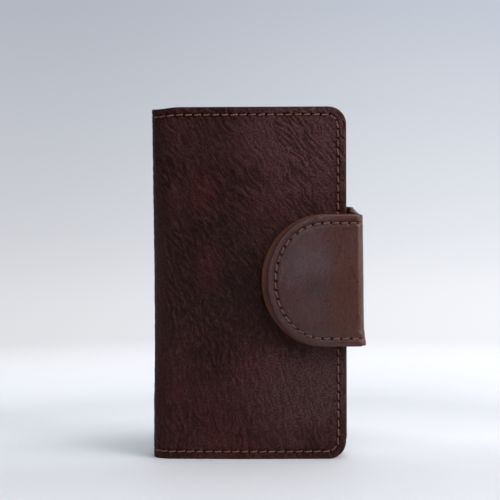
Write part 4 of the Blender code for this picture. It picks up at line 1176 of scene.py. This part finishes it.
def stage_look():
    """Pale and slightly glossy. Away from the case it glows by itself, brighter low and to the right. A ring
    of it close beside and behind the case glows too, painted light that lifts the case's shadow, and near the
    case its own colour is painted lighter on the left than on the right and darker just in front: painted
    light and shade.
    """
    n = Nodes("stage_look", solid=True)
    x, y, _ = n.parts(n.flat)
    radius = n.new("ShaderNodeVectorMath", {0: n.flat}, operation="LENGTH").outputs["Value"]
    # Painted light: a ring close beside and behind the case glows, lifting the case's shadow on the floor
    ring = n.times(n.spread(radius, 0.06, 0.11), n.spread(radius, 0.13, 0.20, 1.0, 0.0))
    glow = n.plus(n.spread(radius, 0.12, 0.45), n.times(ring, n.spread(y, 0.0, 0.06, 0.0, 0.13)))
    to_right = n.spread(x, -0.3, 0.3)
    away = n.math("POWER", n.math("MULTIPLY", n.minus(radius, 0.5), 0.74, True), 1.8)
    close = n.mix(to_right, (0.668, 0.675, 0.700), (0.880, 0.888, 0.922))
    far = n.mix(to_right, (0.445, 0.468, 0.530), (0.540, 0.580, 0.655))
    # Painted light and shade: the floor is lighter on the left, where the case's shadow falls, than on the
    # right, and darker just in front of the case
    floor = n.mix(n.spread(x, -0.12, 0.12), (0.76, 0.765, 0.78), (0.665, 0.67, 0.685))
    floor = n.mix(n.spread(y, -0.06, 0.03, 0.08, 0.0), floor, BLACK)
    return n.finish(Emission_Color=n.mix(away, close, far), Emission_Strength=glow,
                    Base_Color=n.mix(n.spread(radius, 0.2, 0.5), floor, BLACK), Roughness=0.5,
                    Specular_IOR_Level=0.1)


def sweep(name, profile, first, last, look):
    """A (radius, height) profile turned about the middle of the case, over the sides from first to last."""
    turns = [2 * pi * i / STAGE_SIDES for i in range(first, last + 1)]
    across = len(turns)
    verts = [(radius * cos(a), radius * sin(a), height) for radius, height in profile for a in turns]
    faces = [(low + i, low + across + i, low + across + i + 1, low + i + 1)
             for low in range(0, across * (len(profile) - 1), across) for i in range(across - 1)]
    obj = link(name, smooth_mesh(name, verts, faces))
    obj.data.materials.append(look)
    return obj


def make_stage():
    """A round floor that sweeps up into a wall. The part behind the case lights it. The far floor and the
    wall before it are only for other views to look at, so that the front cover faces a dark room."""
    look = stage_look()
    floor = [(r, 0.0) for r in (FLOOR_CENTRE, 0.05, 0.1, 0.15, NEAR_FLOOR)]
    wall = [(r, 0.0) for r in (NEAR_FLOOR, 0.3, 0.45, 0.6, 0.75)]
    wall += [(STAGE_FLAT + STAGE_RISE * sin(a), STAGE_RISE * (1 - cos(a)))
             for a in np.radians(np.linspace(0, 90, 19))]
    wall += [(STAGE_FLAT + STAGE_RISE, STAGE_RISE + h) for h in (0.6, 1.2, 2.0)]
    sweep("floor", floor, 0, STAGE_SIDES, look)
    sweep("wall_behind", wall, 0, STAGE_SIDES // 2, look)
    before = sweep("wall_before", wall, STAGE_SIDES // 2, STAGE_SIDES, look)
    before.visible_diffuse = False
    before.visible_glossy = False
    before.visible_transmission = False
    before.visible_shadow = False


make_stage()

LIT_POINT = Vector((0, 0, 0.08))
# Soft boxes that look at the case and that the camera doesn't see: name, place, size, power, colour
LIGHTS = (
    ("key", (0.42, -0.12, 0.25), (0.25, 0.4), 1.4, (0.98, 0.96, 1.0)),
    ("far_right", (0.9, -0.9, 1.0), (0.5, 0.6), 5.2, (1.0, 1.0, 1.0)),
    ("top", (0.12, -0.2, 0.6), (0.3, 0.2), 1.75, (0.96, 0.97, 1.0)),
    ("sheen", (-0.18, -1.3, 0.3), (0.36, 0.24), 2.8, (0.80, 0.84, 1.0)),
    ("floor", (0.15, 0.35, 1.3), (1.2, 1.0), 7.4, (0.92, 0.96, 1.0)),
)
for name, place, size, power, colour in LIGHTS:
    data = bpy.data.lights.new(name, "AREA")
    data.shape = "RECTANGLE"
    data.size, data.size_y = size
    data.energy = power
    data.color = colour
    light = link(name, data)
    light.location = place
    light.rotation_euler = (LIT_POINT - Vector(place)).to_track_quat("-Z", "Y").to_euler()
    light.visible_camera = False

world = bpy.data.worlds.new("studio")
world.use_nodes = True
background = world.node_tree.nodes["Background"]
background.inputs["Color"].default_value = (0.88, 0.93, 1.0, 1)
background.inputs["Strength"].default_value = 0.008
scene = bpy.context.scene
scene.world = world
scene.view_settings.view_transform = "Standard"
scene.view_settings.look = "None"

CAMERA_PLACE = (0.0103, -1.0009, 0.1626)
CAMERA_YAW = radians(-0.79)
CAMERA_DOWN = radians(4.01)
CAMERA_ROLL = radians(-0.29)
camera_data = bpy.data.cameras.new("camera")
camera_data.sensor_width = 36.0
camera_data.lens = 162.4
camera = link("camera", camera_data)
forward = Vector((sin(CAMERA_YAW) * cos(CAMERA_DOWN), cos(CAMERA_YAW) * cos(CAMERA_DOWN), -sin(CAMERA_DOWN)))
level = Vector((cos(CAMERA_YAW), -sin(CAMERA_YAW), 0))
upright = level.cross(forward)
right = cos(CAMERA_ROLL) * level + sin(CAMERA_ROLL) * upright
up = -sin(CAMERA_ROLL) * level + cos(CAMERA_ROLL) * upright
camera.matrix_world = Matrix.Translation(CAMERA_PLACE) @ Matrix((right, up, -forward)).transposed().to_4x4()
scene.camera = camera
